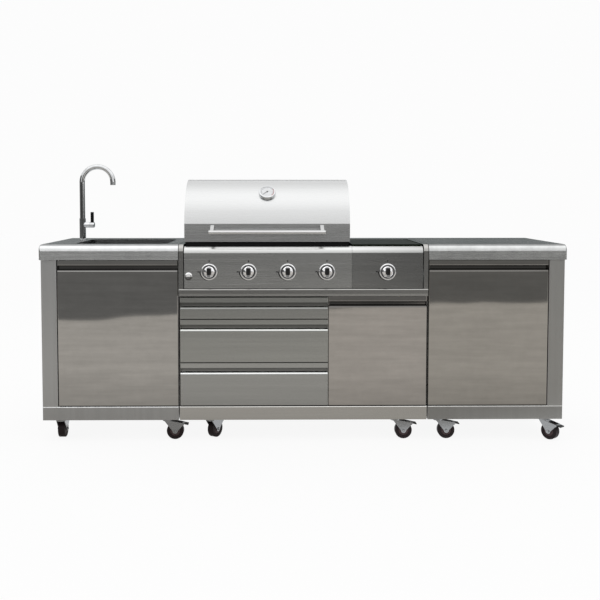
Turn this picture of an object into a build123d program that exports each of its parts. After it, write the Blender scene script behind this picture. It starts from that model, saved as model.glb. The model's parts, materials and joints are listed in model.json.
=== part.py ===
from build123d import *
import os
from math import cos, radians, sin, sqrt

os.makedirs("parts", exist_ok=True)

# All sizes are in millimetres. X runs from left to right, the front faces -Y and the floor is Z = 0.
# The origin lies on the floor in the middle of the island.

# Sheet, seams and play
SHEET = 1.5
SEAM = 0.2  # hairline between pieces that are joined
REVEAL = 3.0  # gap round doors, drawers and lids
TOP_REVEAL = 8.0  # gap between the main rail and the drawers
PIN_PLAY = 0.05  # radial play of a pin in its bore
SLIDE_PLAY = 0.4  # play of a drawer bar in its runner

# Cabinets and worktops
SIDE_WIDTH = 630.0
CENTRE_WIDTH = 1134.0
CABINET_GAP = 3.0
WORKTOP_DEPTH = 610.0
WORKTOP_HEIGHT = 905.0
APRON = 70.0
NOSE_RADIUS = 30.0
END_RADIUS = 8.0  # of the worktops' outer ends
STIFFENER_WIDTH = 22.0
SIDE_OVERHANG = 6.5
FACE_SETBACK = 12.0  # from the worktop's front to the doors
BACK_SETBACK = 30.0  # from the worktop's back to the cabinet's back
CASTER_HEIGHT = 98.0
BASE_RAIL = 63.0
RAIL_EDGE = 5.0
FRAME_DEPTH = 60.0
POST_WIDTH = 70.0
DECK_DROP = 202.0  # from the worktop's top to the grill deck
MAIN_RAIL = 33.0
MAIN_RAIL_DEPTH = 40.0
MAIN_RAIL_PROUD = 3.0
CHEEK_WIDTH = 20.5
TRAY_SLOT = 37.0  # open height at the back for the drip tray
LEDGE_DEPTH = 122.0
LEDGE_HEIGHT = 30.0
BUSH_RADIUS = 8.0  # of the bushes that join the cabinets
BUSH_INSET = 60.0

# Doors and drawers
FRONT_THICK = 24.0
FRONT_EDGE = 3.0
DOOR_STRIP = 22.0
DOOR_CHANNEL = 17.0
DRAWER_STRIP = 26.0
STRIP_EDGE = 2.5
DRAWER_CHANNEL = 16.0
CHANNEL_DEPTH = 20.0
LIP = 12.0
LIP_POCKET = 16.0
DRAWER_SHARE = 0.6  # of the centre cabinet's width
TOP_DRAWER_SHARE = 0.198  # of the drawers' height, and the lower two share the rest
DRAWER_BACK = 74.0  # from a tray's back to the cabinet's back
TRAY_ABOVE = 20.0  # from a drawer front's bottom to its tray
TRAY_BELOW = 45.0  # from a drawer front's top to its tray
RUNNER_HEIGHT = 34.0
RUNNER_WIDTH = 12.0
RUNNER_BACK = 22.0  # from the runners' end to a tray's back
BAR_PROUD = 1.0
HINGE_INSET = 6.0
HINGE_PIN = 3.0
HINGE_PIN_BITE = 16.0
HINGE_PIN_STAND = 9.0

# Control panels, knobs and button
PANEL_DROP = 9.0  # from the worktop's top to the panels' top
PANEL_DEPTH = 40.0
PANEL_GAP = 4.0
PANEL_SEAM = 1.0
PANEL_SHARE = 0.7024  # of the panels' width, for the grill's
KNOB_SHARE = 0.234  # of the grill panel's width, from knob to knob
KNOB_DROP = 124.0  # from the worktop's top to the knobs' axis
KNOB_STANDOFF = 2.0
KNOB_RADIUS = 26.5
KNOB_SKIRT = 13.0
KNOB_DOME = 10.0
KNOB_EDGE = 1.5
GRIP_WIDTH = 16.0
GRIP_INSET = 2.5
GRIP_HEIGHT = 19.0
GRIP_EDGE = 4.0
STEM_RADIUS = 4.0
STEM_DEPTH = 34.0
STEM_HOLE = 6.0
BEZEL_RADIUS = 38.0
BEZEL_BORE = 30.0
BEZEL_HEIGHT = 8.0
BEZEL_EDGE = 5.0
BUTTON_RADIUS = 9.5
BUTTON_DROP = 144.0
BUTTON_INSET = 20.0  # from the panel's left end
BUTTON_PROUD = 9.0
BUTTON_TAIL = 20.0
BUTTON_PLAY = 0.3
BUTTON_EDGE = 1.2
COLLAR_RADIUS = 14.0
COLLAR_HEIGHT = 4.0
BARREL_RADIUS = 12.0
BARREL_LENGTH = 30.0

# Grill
HOOD_INSETS = (-2.0, 6.0)  # from the grill panel's left and right ends to the hood
HOOD_SETBACK = 37.0  # from the worktop's front to the hood
HOOD_BACK = 113.0  # from the hood to the worktop's back
HOOD_LIFT = 10.5  # from the worktop's top to the hood's rim
HOOD_BAND = 82.5
HOOD_RISE = 205.0
HOOD_CROWN = 230.0  # from the hood's front to its highest line
HOOD_REAR_DROP = 150.0
HANDLE_INSET = 114.0  # from the hood's sides
HANDLE_RADIUS = 9.0
HANDLE_STANDOFF = 55.0
HANDLE_LIFT = 45.5  # from the hood's rim to the handle
POST_INSET = 15.0
HANDLE_POST = 8.0
HANDLE_FOOT = 31.0  # from the bar's axis to the top of a bracket's foot
GAUGE_ANGLE = 45.0
GAUGE_RADIUS = 39.5
GAUGE_BODY = 36.5
GAUGE_HEIGHT = 15.0
GAUGE_WINDOW = 33.0
GAUGE_RECESS = 3.0
GAUGE_TAIL = 6.0
PROBE_RADIUS = 4.0
PROBE_LENGTH = 60.0
HINGE_REACH = 15.0  # from the hood's back to its hinge axis
HINGE_LIFT = 20.0  # from the rear ledge to the hood's hinge axis
HINGE_SHARE = 0.33  # of the hood's width, from its middle to an ear
EAR_WIDTH = 24.0
EAR_RADIUS = 8.5
EAR_PIN = 5.0
EAR_GAP = 0.5
BRACKET_WIDTH = 20.0
FIREBOX_INSET = 25.0  # from the hood's sides to the firebox walls
FIREBOX_SETBACK = 85.0  # from the worktop's front to the burner boxes
FIREBOX_BACK = 130.0  # from the burner boxes to the worktop's back
FIREBOX_FLOOR = 27.0  # from the grill deck to the firebox floor
GREASE_SLOT = 200.0
RIM_GAP = 3.0  # between the hood's rim and the firebox rim
RIM_INSET = 2.0
FASCIA_HEIGHT = 32.0
FASCIA_INSET = 5.0
REST_SIZE = 10.0
GRATE_THICK = 10.0
GRATE_COUNT = 4
GRATE_GAP = 2.0
GRATE_FRAME = 9.0
GRATE_BARS = 9
GRATE_SLOT = 10.0
BURNER_RADIUS = 16.0
BURNER_END = 50.0  # from a burner's end to the firebox's back
BURNER_START = 70.0
BURNER_WALL = 1.5
TENT_WIDTH = 110.0
TENT_RISE = 30.0
TENT_LIFT = 60.0  # from the burners' axis to the tents' feet
DRIP_INSET = 128.0  # from the hood's sides
DRIP_HEIGHT = 22.0
DRIP_START = 110.0
DRIP_PULL = 14.0
DRIP_LIFT = 0.4

# Gas valves and manifold
VALVE_SETBACK = 22.0
VALVE_DEPTH = 42.0
VALVE_WIDTH = 26.0
VALVE_TOP = 14.0
VALVE_BOTTOM = 36.0
BOSS_RADIUS = 9.0
JET_RADIUS = 5.0
JET_LENGTH = 14.0
MANIFOLD_RADIUS = 9.0
MANIFOLD_DROP = 24.0
MANIFOLD_SETBACK = 52.0
GAS_DROP_OFFSET = 60.0  # from the side burner's valve to the gas inlet
GAS_PIPE = 6.6
GAS_DROP = 83.0  # from the grill deck to the gas inlet
GAS_HOLE_PLAY = 1.4
TEE_RADIUS = 11.0
TEE_HEIGHT = 14.0

# Side burner
BOWL_TOP_DROP = 13.0
BOWL_DEPTH = 62.0
LID_THICK = 8.0
LID_DROP = 1.0
LID_START = 36.0
LID_AXIS = 4.0  # from the lid's back edge to its hinge axis
LID_NOTCH = 14.0
LID_PIN = 2.0
LID_PIN_BITE = 20.0
LUG_WIDTH = 12.0
LUG_RADIUS = 4.5
PAD_RADIUS = 5.0
PAD_GAP = 0.2
HEAD_RADIUS = 45.0
HEAD_HEIGHT = 20.0
HEAD_STEM = 20.0
HEAD_FEED = 9.0
PAN_INSET = 46.0  # from the side panel's ends to the pan support
PAN_FRAME = 12.0
PAN_FINGER = 70.0
PAN_THICK = 10.0
PAN_LIFT = 46.0  # from the bowl's floor to the underside of the pan support

# Sink and tap
SINK_BACK = 128.0  # from the worktop's back
SINK_INNER_INSET = 53.0  # from the worktop's inner end
SINK_DEPTH = 190.0
SINK_CORNER = 40.0
SINK_FLOOR_EDGE = 20.0
SINK_SETBACK = 72.0  # from the worktop's front
SINK_INSET = 142.0  # from the worktop's outer end
SINK_FLANGE = 14.0
SINK_LIP = 2.0
DRAIN_RADIUS = 45.0
DRAIN_FLANGE = 54.0
DRAIN_CUP = 60.0
DRAIN_WALL = 2.0
WASTE_RADIUS = 20.0
TRAP_BEND = 45.0
TRAP_DROP = 150.0
TRAP_RISE = 80.0
TRAP_SPAN = 110.0
WASTE_PLAY = 1.5
TAP_INSET = 108.0
TAP_BACK = 198.0  # from the worktop's back
TAP_FLANGE = 19.0
TAP_FLANGE_HEIGHT = 7.0
TAP_BODY = 15.5
TAP_HEIGHT = 108.0
SHANK_RADIUS = 10.5
SHANK_LENGTH = 70.0
NUT_RADIUS = 19.0
NUT_HEIGHT = 10.0
TAP_HOLE_PLAY = 0.5
SPOUT_RADIUS = 13.0
SPOUT_RISE = 181.0
SPOUT_REACH = 153.0
SPOUT_TIP = 14.0
SPIGOT_RADIUS = 9.0
SPIGOT_LENGTH = 25.0
VALVE_LIFT = 76.0
SIDE_VALVE = 14.0
SIDE_VALVE_REACH = 36.0
LEVER_CAP = 23.0
LEVER_SPIGOT = 6.0
LEVER_SPIGOT_LENGTH = 14.0
LEVER_WIDTH = 16.0
LEVER_THICK = 9.0
LEVER_HEIGHT = 64.0
LEVER_EDGE = 3.0
JOINT_GAP = 0.4

# Casters
WHEEL_RADIUS = 39.0
WHEEL_WIDTH = 32.0
HUB_RADIUS = 24.0
HUB_RECESS = 3.0
WHEEL_EDGE = 3.0
AXLE_RADIUS = 4.0
TRAIL = 36.0
LEG_GAP = 1.2
LEG_THICK = 2.5
LEG_EYE = 12.0
CROWN_RADIUS = 23.0
CROWN_THICK = 6.0
PLATE_WIDTH = 70.0
PLATE_DEPTH = 56.0
PLATE_THICK = 3.0
RACE_RADIUS = 18.0
RACE_THICK = 3.0
KING_PIN = 6.0
KING_HEAD = 10.0
KING_HEAD_THICK = 3.5
SWIVEL_GAP = 0.3
PEDAL_REACH = 97.0
PEDAL_PIVOT_OUT = 35.5
PEDAL_PIVOT_UP = 31.0
PEDAL_PIN = 2.5
PEDAL_HUB = 5.5
PEDAL_THICK = 4.0
PEDAL_SLOPE = 12.0  # degrees below level
PEDAL_SIDE_GAP = 0.6
CASTER_SETBACK = 45.0  # from the doors' plane to the front casters
REAR_CASTER_INSET = 50.0  # from the cabinet's back to the rear casters
OUTER_CASTER_INSET = 71.5
INNER_CASTER_INSET = 57.0
CENTRE_CASTER_INSET = 137.0
CASTER_TURNS = (90.0, 0.0, 58.0, 0.0, 0.0, -49.0)  # degrees, from left to right

# Places along Y
KNOB_REACH = KNOB_STANDOFF + KNOB_SKIRT + GRIP_HEIGHT
FRONT_Y = (KNOB_REACH - WORKTOP_DEPTH) / 2
BACK_Y = FRONT_Y + WORKTOP_DEPTH
FACE_Y = FRONT_Y + FACE_SETBACK
CABINET_BACK_Y = BACK_Y - BACK_SETBACK
INNER_BACK_Y = CABINET_BACK_Y - SHEET - SEAM
FRAME_BACK_Y = FACE_Y + FRAME_DEPTH
WALL_Y = FACE_Y + FRONT_THICK + REVEAL
LEDGE_Y = BACK_Y - LEDGE_DEPTH
HOOD_FRONT_Y = FRONT_Y + HOOD_SETBACK
HOOD_BACK_Y = BACK_Y - HOOD_BACK
DECK_Y = FRONT_Y + MAIN_RAIL_DEPTH + SEAM
BOX_Y = (FRONT_Y + FIREBOX_SETBACK, BACK_Y - FIREBOX_BACK)

# Places along Z
BASE_TOP = CASTER_HEIGHT + BASE_RAIL
APRON_Z = WORKTOP_HEIGHT - APRON
CARCASS_TOP = WORKTOP_HEIGHT - NOSE_RADIUS
PANEL_TOP = WORKTOP_HEIGHT - PANEL_DROP
KNOB_Z = WORKTOP_HEIGHT - KNOB_DROP
HOOD_RIM = WORKTOP_HEIGHT + HOOD_LIFT
HOOD_CREASE = HOOD_RIM + HOOD_BAND
HOOD_TOP = HOOD_CREASE + HOOD_RISE
RIM_TOP = HOOD_RIM - RIM_GAP
DECK_TOP = WORKTOP_HEIGHT - DECK_DROP
MAIN_RAIL_Z = DECK_TOP - MAIN_RAIL
GRATE_TOP = WORKTOP_HEIGHT
DRAWER_BOTTOM = BASE_TOP + REVEAL
DRAWER_TOP = MAIN_RAIL_Z - TOP_REVEAL
DRAWER_HEIGHT = ((DRAWER_TOP - DRAWER_BOTTOM) * (1 - TOP_DRAWER_SHARE) - 2 * REVEAL) / 2
BOWL_RIM = WORKTOP_HEIGHT - BOWL_TOP_DROP
BOWL_FLOOR = BOWL_RIM - BOWL_DEPTH
LID_TOP = WORKTOP_HEIGHT - LID_DROP
SINK_TOP = WORKTOP_HEIGHT - SHEET - SEAM
SINK_FLOOR = SINK_TOP - SINK_DEPTH

# Places along X, as distances from the middle where both sides are alike
CENTRE_HALF = CENTRE_WIDTH / 2
SIDE_INNER = CENTRE_HALF + CABINET_GAP
HALF_WIDTH = SIDE_INNER + SIDE_WIDTH
WALL_INNER = SIDE_INNER + SHEET + SEAM
WALL_OUTER = HALF_WIDTH - SIDE_OVERHANG
CHEEK_INNER = CENTRE_HALF - CHEEK_WIDTH
FRONT_SPLIT = CENTRE_WIDTH * DRAWER_SHARE - CENTRE_HALF
SIDE_DOOR = (SIDE_INNER + REVEAL, WALL_OUTER - POST_WIDTH - REVEAL)
PANEL_END = CHEEK_INNER - PANEL_GAP
PANEL_SPLIT = PANEL_END * (2 * PANEL_SHARE - 1)
GRILL_PANEL = (-PANEL_END, PANEL_SPLIT - PANEL_SEAM / 2)
SIDE_PANEL = (PANEL_SPLIT + PANEL_SEAM / 2, PANEL_END)
GRILL_X = sum(GRILL_PANEL) / 2
SIDE_BURNER_X = sum(SIDE_PANEL) / 2
HOOD_X = (GRILL_PANEL[0] + HOOD_INSETS[0], GRILL_PANEL[1] - HOOD_INSETS[1])
HOOD_MIDDLE = sum(HOOD_X) / 2
HOOD_WIDTH = HOOD_X[1] - HOOD_X[0]
HINGE_SPREAD = HOOD_WIDTH * HINGE_SHARE
FIREBOX_X = (HOOD_X[0] + FIREBOX_INSET, HOOD_X[1] - FIREBOX_INSET)
KNOB_PITCH = (GRILL_PANEL[1] - GRILL_PANEL[0]) * KNOB_SHARE
KNOB_X = [GRILL_X + KNOB_PITCH * (index - 1.5) for index in range(4)]
DRAWER_X = (REVEAL - CENTRE_HALF, FRONT_SPLIT - REVEAL / 2)
CENTRE_DOOR_X = (FRONT_SPLIT + REVEAL / 2, CENTRE_HALF - REVEAL)
SINK_WIDTH = SIDE_WIDTH - SINK_INSET - SINK_INNER_INSET
SINK_LENGTH = WORKTOP_DEPTH - SINK_SETBACK - SINK_BACK
SINK_X = SINK_INSET + SINK_WIDTH / 2 - HALF_WIDTH
SINK_Y = FRONT_Y + SINK_SETBACK + SINK_LENGTH / 2
TAP_X = TAP_INSET - HALF_WIDTH
TAP_Y = BACK_Y - TAP_BACK


def block(x, y, z, mode=Mode.ADD):
    """A box in the open part, from its low and high ends along each axis."""
    with Locations(((x[0] + x[1]) / 2, (y[0] + y[1]) / 2, (z[0] + z[1]) / 2)):
        Box(x[1] - x[0], y[1] - y[0], z[1] - z[0], mode=mode)


def rod(start, end, radius, mode=Mode.ADD):
    """A round bar in the open part between two points."""
    line = Vector(end) - Vector(start)
    with BuildSketch(Plane(origin=start, z_dir=line)) as section:
        Circle(radius)
    extrude(section.sketch, amount=line.length, mode=mode)


def span(side, near, far):
    """The X range between two distances from the middle, left (-1) or right (1)."""
    return sorted((side * near, side * far))


def sheet_box(x, y, z, open_side):
    """A folded sheet box in the open part that lacks its back, below or above wall."""
    past = SEAM / 2
    block(x, y, z)
    core_x = (x[0] + SHEET, x[1] - SHEET)
    core_y = (y[0] + SHEET, y[1] + past if open_side == "back" else y[1] - SHEET)
    core_low = z[0] - past if open_side == "below" else z[0] + SHEET
    core_high = z[1] + past if open_side == "above" else z[1] - SHEET
    block(core_x, core_y, (core_low, core_high), Mode.SUBTRACT)


def nosed_block(x, y, z, radius, mode=Mode.ADD):
    """A block in the open part with its top front edge rounded."""
    with BuildSketch(Plane.YZ.offset(x[0])) as outline:
        with Locations(((y[0] + y[1]) / 2, (z[0] + z[1]) / 2)):
            Rectangle(y[1] - y[0], z[1] - z[0])
        fillet(outline.vertices().group_by(Axis.X)[0].sort_by(Axis.Y)[-1], radius)
    extrude(outline.sketch, amount=x[1] - x[0], mode=mode)


def nosed_sheet(x, y, z, radius, open_side):
    """A nosed sheet box in the open part that lacks its back or below wall."""
    past = SEAM / 2
    nosed_block(x, y, z, radius)
    core_x = (x[0] + SHEET, x[1] - SHEET)
    core_y = (y[0] + SHEET, y[1] + past if open_side == "back" else y[1] - SHEET)
    core_z = (z[0] - past if open_side == "below" else z[0] + SHEET, z[1] - SHEET)
    nosed_block(core_x, core_y, core_z, radius - SHEET, Mode.SUBTRACT)


def save(builder, label):
    """Names a finished piece and writes it."""
    builder.part.label = label
    export_step(builder.part, f"parts/{label}.step")


# Side cabinets
def hinge_bores(x, low, high):
    """The bores for a door's two pivot pins, through the rails below and above it."""
    place_y = FACE_Y + HINGE_INSET
    bore = HINGE_PIN + PIN_PLAY
    rod((x, place_y, low - HINGE_PIN_STAND), (x, place_y, low), bore, Mode.SUBTRACT)
    rod((x, place_y, high), (x, place_y, high + HINGE_PIN_STAND), bore, Mode.SUBTRACT)


def base_rails(x):
    """The front and back base rails and the floor between them."""
    back_rail_y = (INNER_BACK_Y - FRAME_DEPTH, INNER_BACK_Y)
    nosed_sheet(x, (FACE_Y, FRAME_BACK_Y), (CASTER_HEIGHT, BASE_TOP), RAIL_EDGE, "back")
    sheet_box(x, back_rail_y, (CASTER_HEIGHT, BASE_TOP), "back")
    floor_x = (x[0] + SHEET + SEAM, x[1] - SHEET - SEAM)
    floor_y = (FRAME_BACK_Y + SEAM, back_rail_y[0] - SEAM)
    block(floor_x, floor_y, (BASE_TOP - SHEET, BASE_TOP))
    for skirt_x in ((x[0], x[0] + SHEET), (x[1] - SHEET, x[1])):
        block(skirt_x, floor_y, (CASTER_HEIGHT, BASE_TOP))


def side_cabinet(label, side):
    """A side cabinet, left (-1) or right (1)."""
    walls_z = (BASE_TOP + SEAM, CARCASS_TOP)
    with BuildPart() as cabinet:
        base_rails(span(side, WALL_INNER, WALL_OUTER))
        post_x = span(side, WALL_OUTER - POST_WIDTH, WALL_OUTER)
        sheet_box(post_x, (FACE_Y, FRAME_BACK_Y), (BASE_TOP + SEAM, APRON_Z - SEAM), "back")
        header_x = span(side, WALL_INNER + SHEET + SEAM, WALL_OUTER - POST_WIDTH / 2)
        sheet_box(header_x, (FACE_Y, FRAME_BACK_Y), (APRON_Z, CARCASS_TOP), "back")
        outer_wall = span(side, WALL_OUTER - SHEET, WALL_OUTER)
        block(outer_wall, (FRAME_BACK_Y + SEAM, INNER_BACK_Y), walls_z)
        block(span(side, WALL_INNER, WALL_INNER + SHEET), (WALL_Y, INNER_BACK_Y), walls_z)
        back_y = (CABINET_BACK_Y - SHEET, CABINET_BACK_Y)
        block(span(side, WALL_INNER, WALL_OUTER), back_y, (CASTER_HEIGHT, CARCASS_TOP))
        hinge_bores(side * (SIDE_DOOR[1] - HINGE_INSET), BASE_TOP, APRON_Z)
        if side < 0:
            outlet_z = SINK_FLOOR - DRAIN_CUP - TRAP_DROP + TRAP_RISE
            hole = WASTE_RADIUS + WASTE_PLAY
            rod((SINK_X, INNER_BACK_Y, outlet_z), (SINK_X, BACK_Y, outlet_z), hole, Mode.SUBTRACT)
    save(cabinet, label)


side_cabinet("left_cabinet", -1)
side_cabinet("right_cabinet", 1)


# Worktops
def worktop(label, side):
    """A folded worktop with a rounded front, left (-1) or right (1)."""
    end = 0 if side < 0 else -1
    with BuildPart() as top:
        top_x = span(side, SIDE_INNER, HALF_WIDTH)
        nosed_block(top_x, (FRONT_Y, BACK_Y), (APRON_Z, WORKTOP_HEIGHT), NOSE_RADIUS)
        end_edges = top.faces().sort_by(Axis.X)[end].edges().sort_by(Axis.Z)[1:]
        fillet(end_edges.sort_by(Axis.Y)[:-1], END_RADIUS)
        offset(amount=-SHEET, openings=top.faces().sort_by(Axis.Z)[0])
        if side < 0:
            with BuildSketch(Plane.XY.offset(WORKTOP_HEIGHT)):
                with Locations((SINK_X, SINK_Y)):
                    inset = 2 * (SHEET + SINK_LIP)
                    RectangleRounded(SINK_WIDTH - inset, SINK_LENGTH - inset, SINK_CORNER)
                with Locations((TAP_X, TAP_Y)):
                    Circle(SHANK_RADIUS + TAP_HOLE_PLAY)
            extrude(amount=-SHEET - SEAM, mode=Mode.SUBTRACT)
        stiffener_x = span(side, WALL_INNER, WALL_OUTER - NOSE_RADIUS)
        stiffener_z = (CARCASS_TOP + SEAM, WORKTOP_HEIGHT - SHEET - SEAM)
        front_y = FRONT_Y + NOSE_RADIUS + SEAM
        block(stiffener_x, (front_y, front_y + STIFFENER_WIDTH), stiffener_z)
        block(stiffener_x, (INNER_BACK_Y - STIFFENER_WIDTH, INNER_BACK_Y), stiffener_z)
    save(top, label)


worktop("left_worktop", -1)
worktop("right_worktop", 1)


# Sink, drain and trap
with BuildPart() as sink_basin:
    with BuildSketch(Plane.XY.offset(SINK_TOP)):
        with Locations((SINK_X, SINK_Y)):
            RectangleRounded(SINK_WIDTH, SINK_LENGTH, SINK_CORNER)
    extrude(amount=-SINK_DEPTH)
    fillet(sink_basin.faces().sort_by(Axis.Z)[0].edges(), SINK_FLOOR_EDGE)
    offset(amount=-SHEET, openings=sink_basin.faces().sort_by(Axis.Z)[-1])
    with BuildSketch(Plane.XY.offset(SINK_TOP)):
        with Locations((SINK_X, SINK_Y)):
            wide = 2 * SINK_FLANGE
            RectangleRounded(SINK_WIDTH + wide, SINK_LENGTH + wide, SINK_CORNER + SINK_FLANGE)
            bore = -2 * SHEET
            inner_corner = SINK_CORNER - SHEET
            RectangleRounded(SINK_WIDTH + bore, SINK_LENGTH + bore, inner_corner, mode=Mode.SUBTRACT)
    extrude(amount=-SHEET)
    rod((SINK_X, SINK_Y, SINK_FLOOR), (SINK_X, SINK_Y, SINK_FLOOR + SHEET), DRAIN_RADIUS, Mode.SUBTRACT)
save(sink_basin, "sink_basin")

with BuildPart() as sink_drain:
    floor_top = SINK_FLOOR + SHEET + SEAM
    cup_bottom = SINK_FLOOR - DRAIN_CUP
    cup_radius = DRAIN_RADIUS - SEAM
    rod((SINK_X, SINK_Y, floor_top), (SINK_X, SINK_Y, floor_top + DRAIN_WALL), DRAIN_FLANGE)
    rod((SINK_X, SINK_Y, cup_bottom), (SINK_X, SINK_Y, floor_top + DRAIN_WALL), cup_radius)
    cup_floor = cup_bottom + DRAIN_WALL
    cup_mouth = (SINK_X, SINK_Y, floor_top + DRAIN_WALL)
    rod((SINK_X, SINK_Y, cup_floor), cup_mouth, cup_radius - DRAIN_WALL, Mode.SUBTRACT)
    trap_low = cup_bottom - TRAP_DROP
    with BuildLine() as trap_line:
        FilletPolyline(
            (SINK_X, SINK_Y, cup_bottom),
            (SINK_X, SINK_Y, trap_low),
            (SINK_X, SINK_Y + TRAP_SPAN, trap_low),
            (SINK_X, SINK_Y + TRAP_SPAN, trap_low + TRAP_RISE),
            (SINK_X, BACK_Y - SHEET, trap_low + TRAP_RISE),
            radius=min(TRAP_BEND, TRAP_RISE / 2 - SEAM),
        )
    with BuildSketch(Plane(origin=(SINK_X, SINK_Y, cup_bottom), z_dir=(0, 0, -1))) as trap_section:
        Circle(WASTE_RADIUS)
        Circle(WASTE_RADIUS - DRAIN_WALL, mode=Mode.SUBTRACT)
    sweep(trap_section.sketch, path=trap_line.wire())
    cup_hole = WASTE_RADIUS - DRAIN_WALL
    rod((SINK_X, SINK_Y, cup_bottom - SEAM), (SINK_X, SINK_Y, cup_floor + SEAM), cup_hole, Mode.SUBTRACT)
save(sink_drain, "sink_drain")

# Tap
tap_top = WORKTOP_HEIGHT + TAP_HEIGHT
valve_z = WORKTOP_HEIGHT + VALVE_LIFT
with BuildPart() as tap_body:
    deck = WORKTOP_HEIGHT + SEAM
    rod((TAP_X, TAP_Y, deck), (TAP_X, TAP_Y, deck + TAP_FLANGE_HEIGHT), TAP_FLANGE)
    fillet(tap_body.edges().sort_by(Axis.Z)[-1], TAP_FLANGE_HEIGHT / 2)
    rod((TAP_X, TAP_Y, deck), (TAP_X, TAP_Y, tap_top), TAP_BODY)
    rod((TAP_X, TAP_Y, valve_z), (TAP_X + SIDE_VALVE_REACH, TAP_Y, valve_z), SIDE_VALVE)
    rod((TAP_X, TAP_Y, deck - SHANK_LENGTH), (TAP_X, TAP_Y, deck), SHANK_RADIUS)
    nut_top = SINK_TOP
    rod((TAP_X, TAP_Y, nut_top - NUT_HEIGHT), (TAP_X, TAP_Y, nut_top), NUT_RADIUS)
    spigot_end = (TAP_X, TAP_Y, tap_top - SPIGOT_LENGTH - JOINT_GAP)
    rod(spigot_end, (TAP_X, TAP_Y, tap_top), SPIGOT_RADIUS + PIN_PLAY, Mode.SUBTRACT)
    lever_seat = TAP_X + SIDE_VALVE_REACH
    lever_bore_end = (lever_seat - LEVER_SPIGOT_LENGTH - JOINT_GAP, TAP_Y, valve_z)
    rod(lever_bore_end, (lever_seat, TAP_Y, valve_z), LEVER_SPIGOT + PIN_PLAY, Mode.SUBTRACT)
save(tap_body, "tap_body")

with BuildPart() as tap_spout:
    spout_foot = tap_top + JOINT_GAP
    arch_z = tap_top + SPOUT_RISE
    arch_top = (TAP_X + SPOUT_REACH / 2, TAP_Y, arch_z + SPOUT_REACH / 2)
    with BuildLine() as spout_line:
        Line((TAP_X, TAP_Y, spout_foot), (TAP_X, TAP_Y, arch_z))
        ThreePointArc((TAP_X, TAP_Y, arch_z), arch_top, (TAP_X + SPOUT_REACH, TAP_Y, arch_z))
        Line((TAP_X + SPOUT_REACH, TAP_Y, arch_z), (TAP_X + SPOUT_REACH, TAP_Y, arch_z - SPOUT_TIP))
    with BuildSketch(Plane.XY.offset(spout_foot).move(Location((TAP_X, TAP_Y, 0)))) as spout_section:
        Circle(SPOUT_RADIUS)
    sweep(spout_section.sketch, path=spout_line.wire())
    mouth = (TAP_X + SPOUT_REACH, TAP_Y, arch_z - SPOUT_TIP)
    rod(mouth, (mouth[0], TAP_Y, arch_z), SPOUT_RADIUS - DRAIN_WALL, Mode.SUBTRACT)
    rod((TAP_X, TAP_Y, tap_top - SPIGOT_LENGTH), (TAP_X, TAP_Y, spout_foot), SPIGOT_RADIUS)
save(tap_spout, "tap_spout")

with BuildPart() as tap_lever:
    cap_start = lever_seat + JOINT_GAP
    rod((cap_start, TAP_Y, valve_z), (cap_start + LEVER_CAP, TAP_Y, valve_z), SIDE_VALVE)
    fillet(tap_lever.edges().sort_by(Axis.X)[-1], LEVER_EDGE)
    rod((lever_seat - LEVER_SPIGOT_LENGTH, TAP_Y, valve_z), (cap_start, TAP_Y, valve_z), LEVER_SPIGOT)
    with BuildSketch(Plane.XY.offset(valve_z)):
        with Locations((cap_start + LEVER_CAP / 2, TAP_Y)):
            RectangleRounded(LEVER_WIDTH, LEVER_THICK, LEVER_EDGE)
    extrude(amount=LEVER_HEIGHT)
save(tap_lever, "tap_lever")


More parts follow.
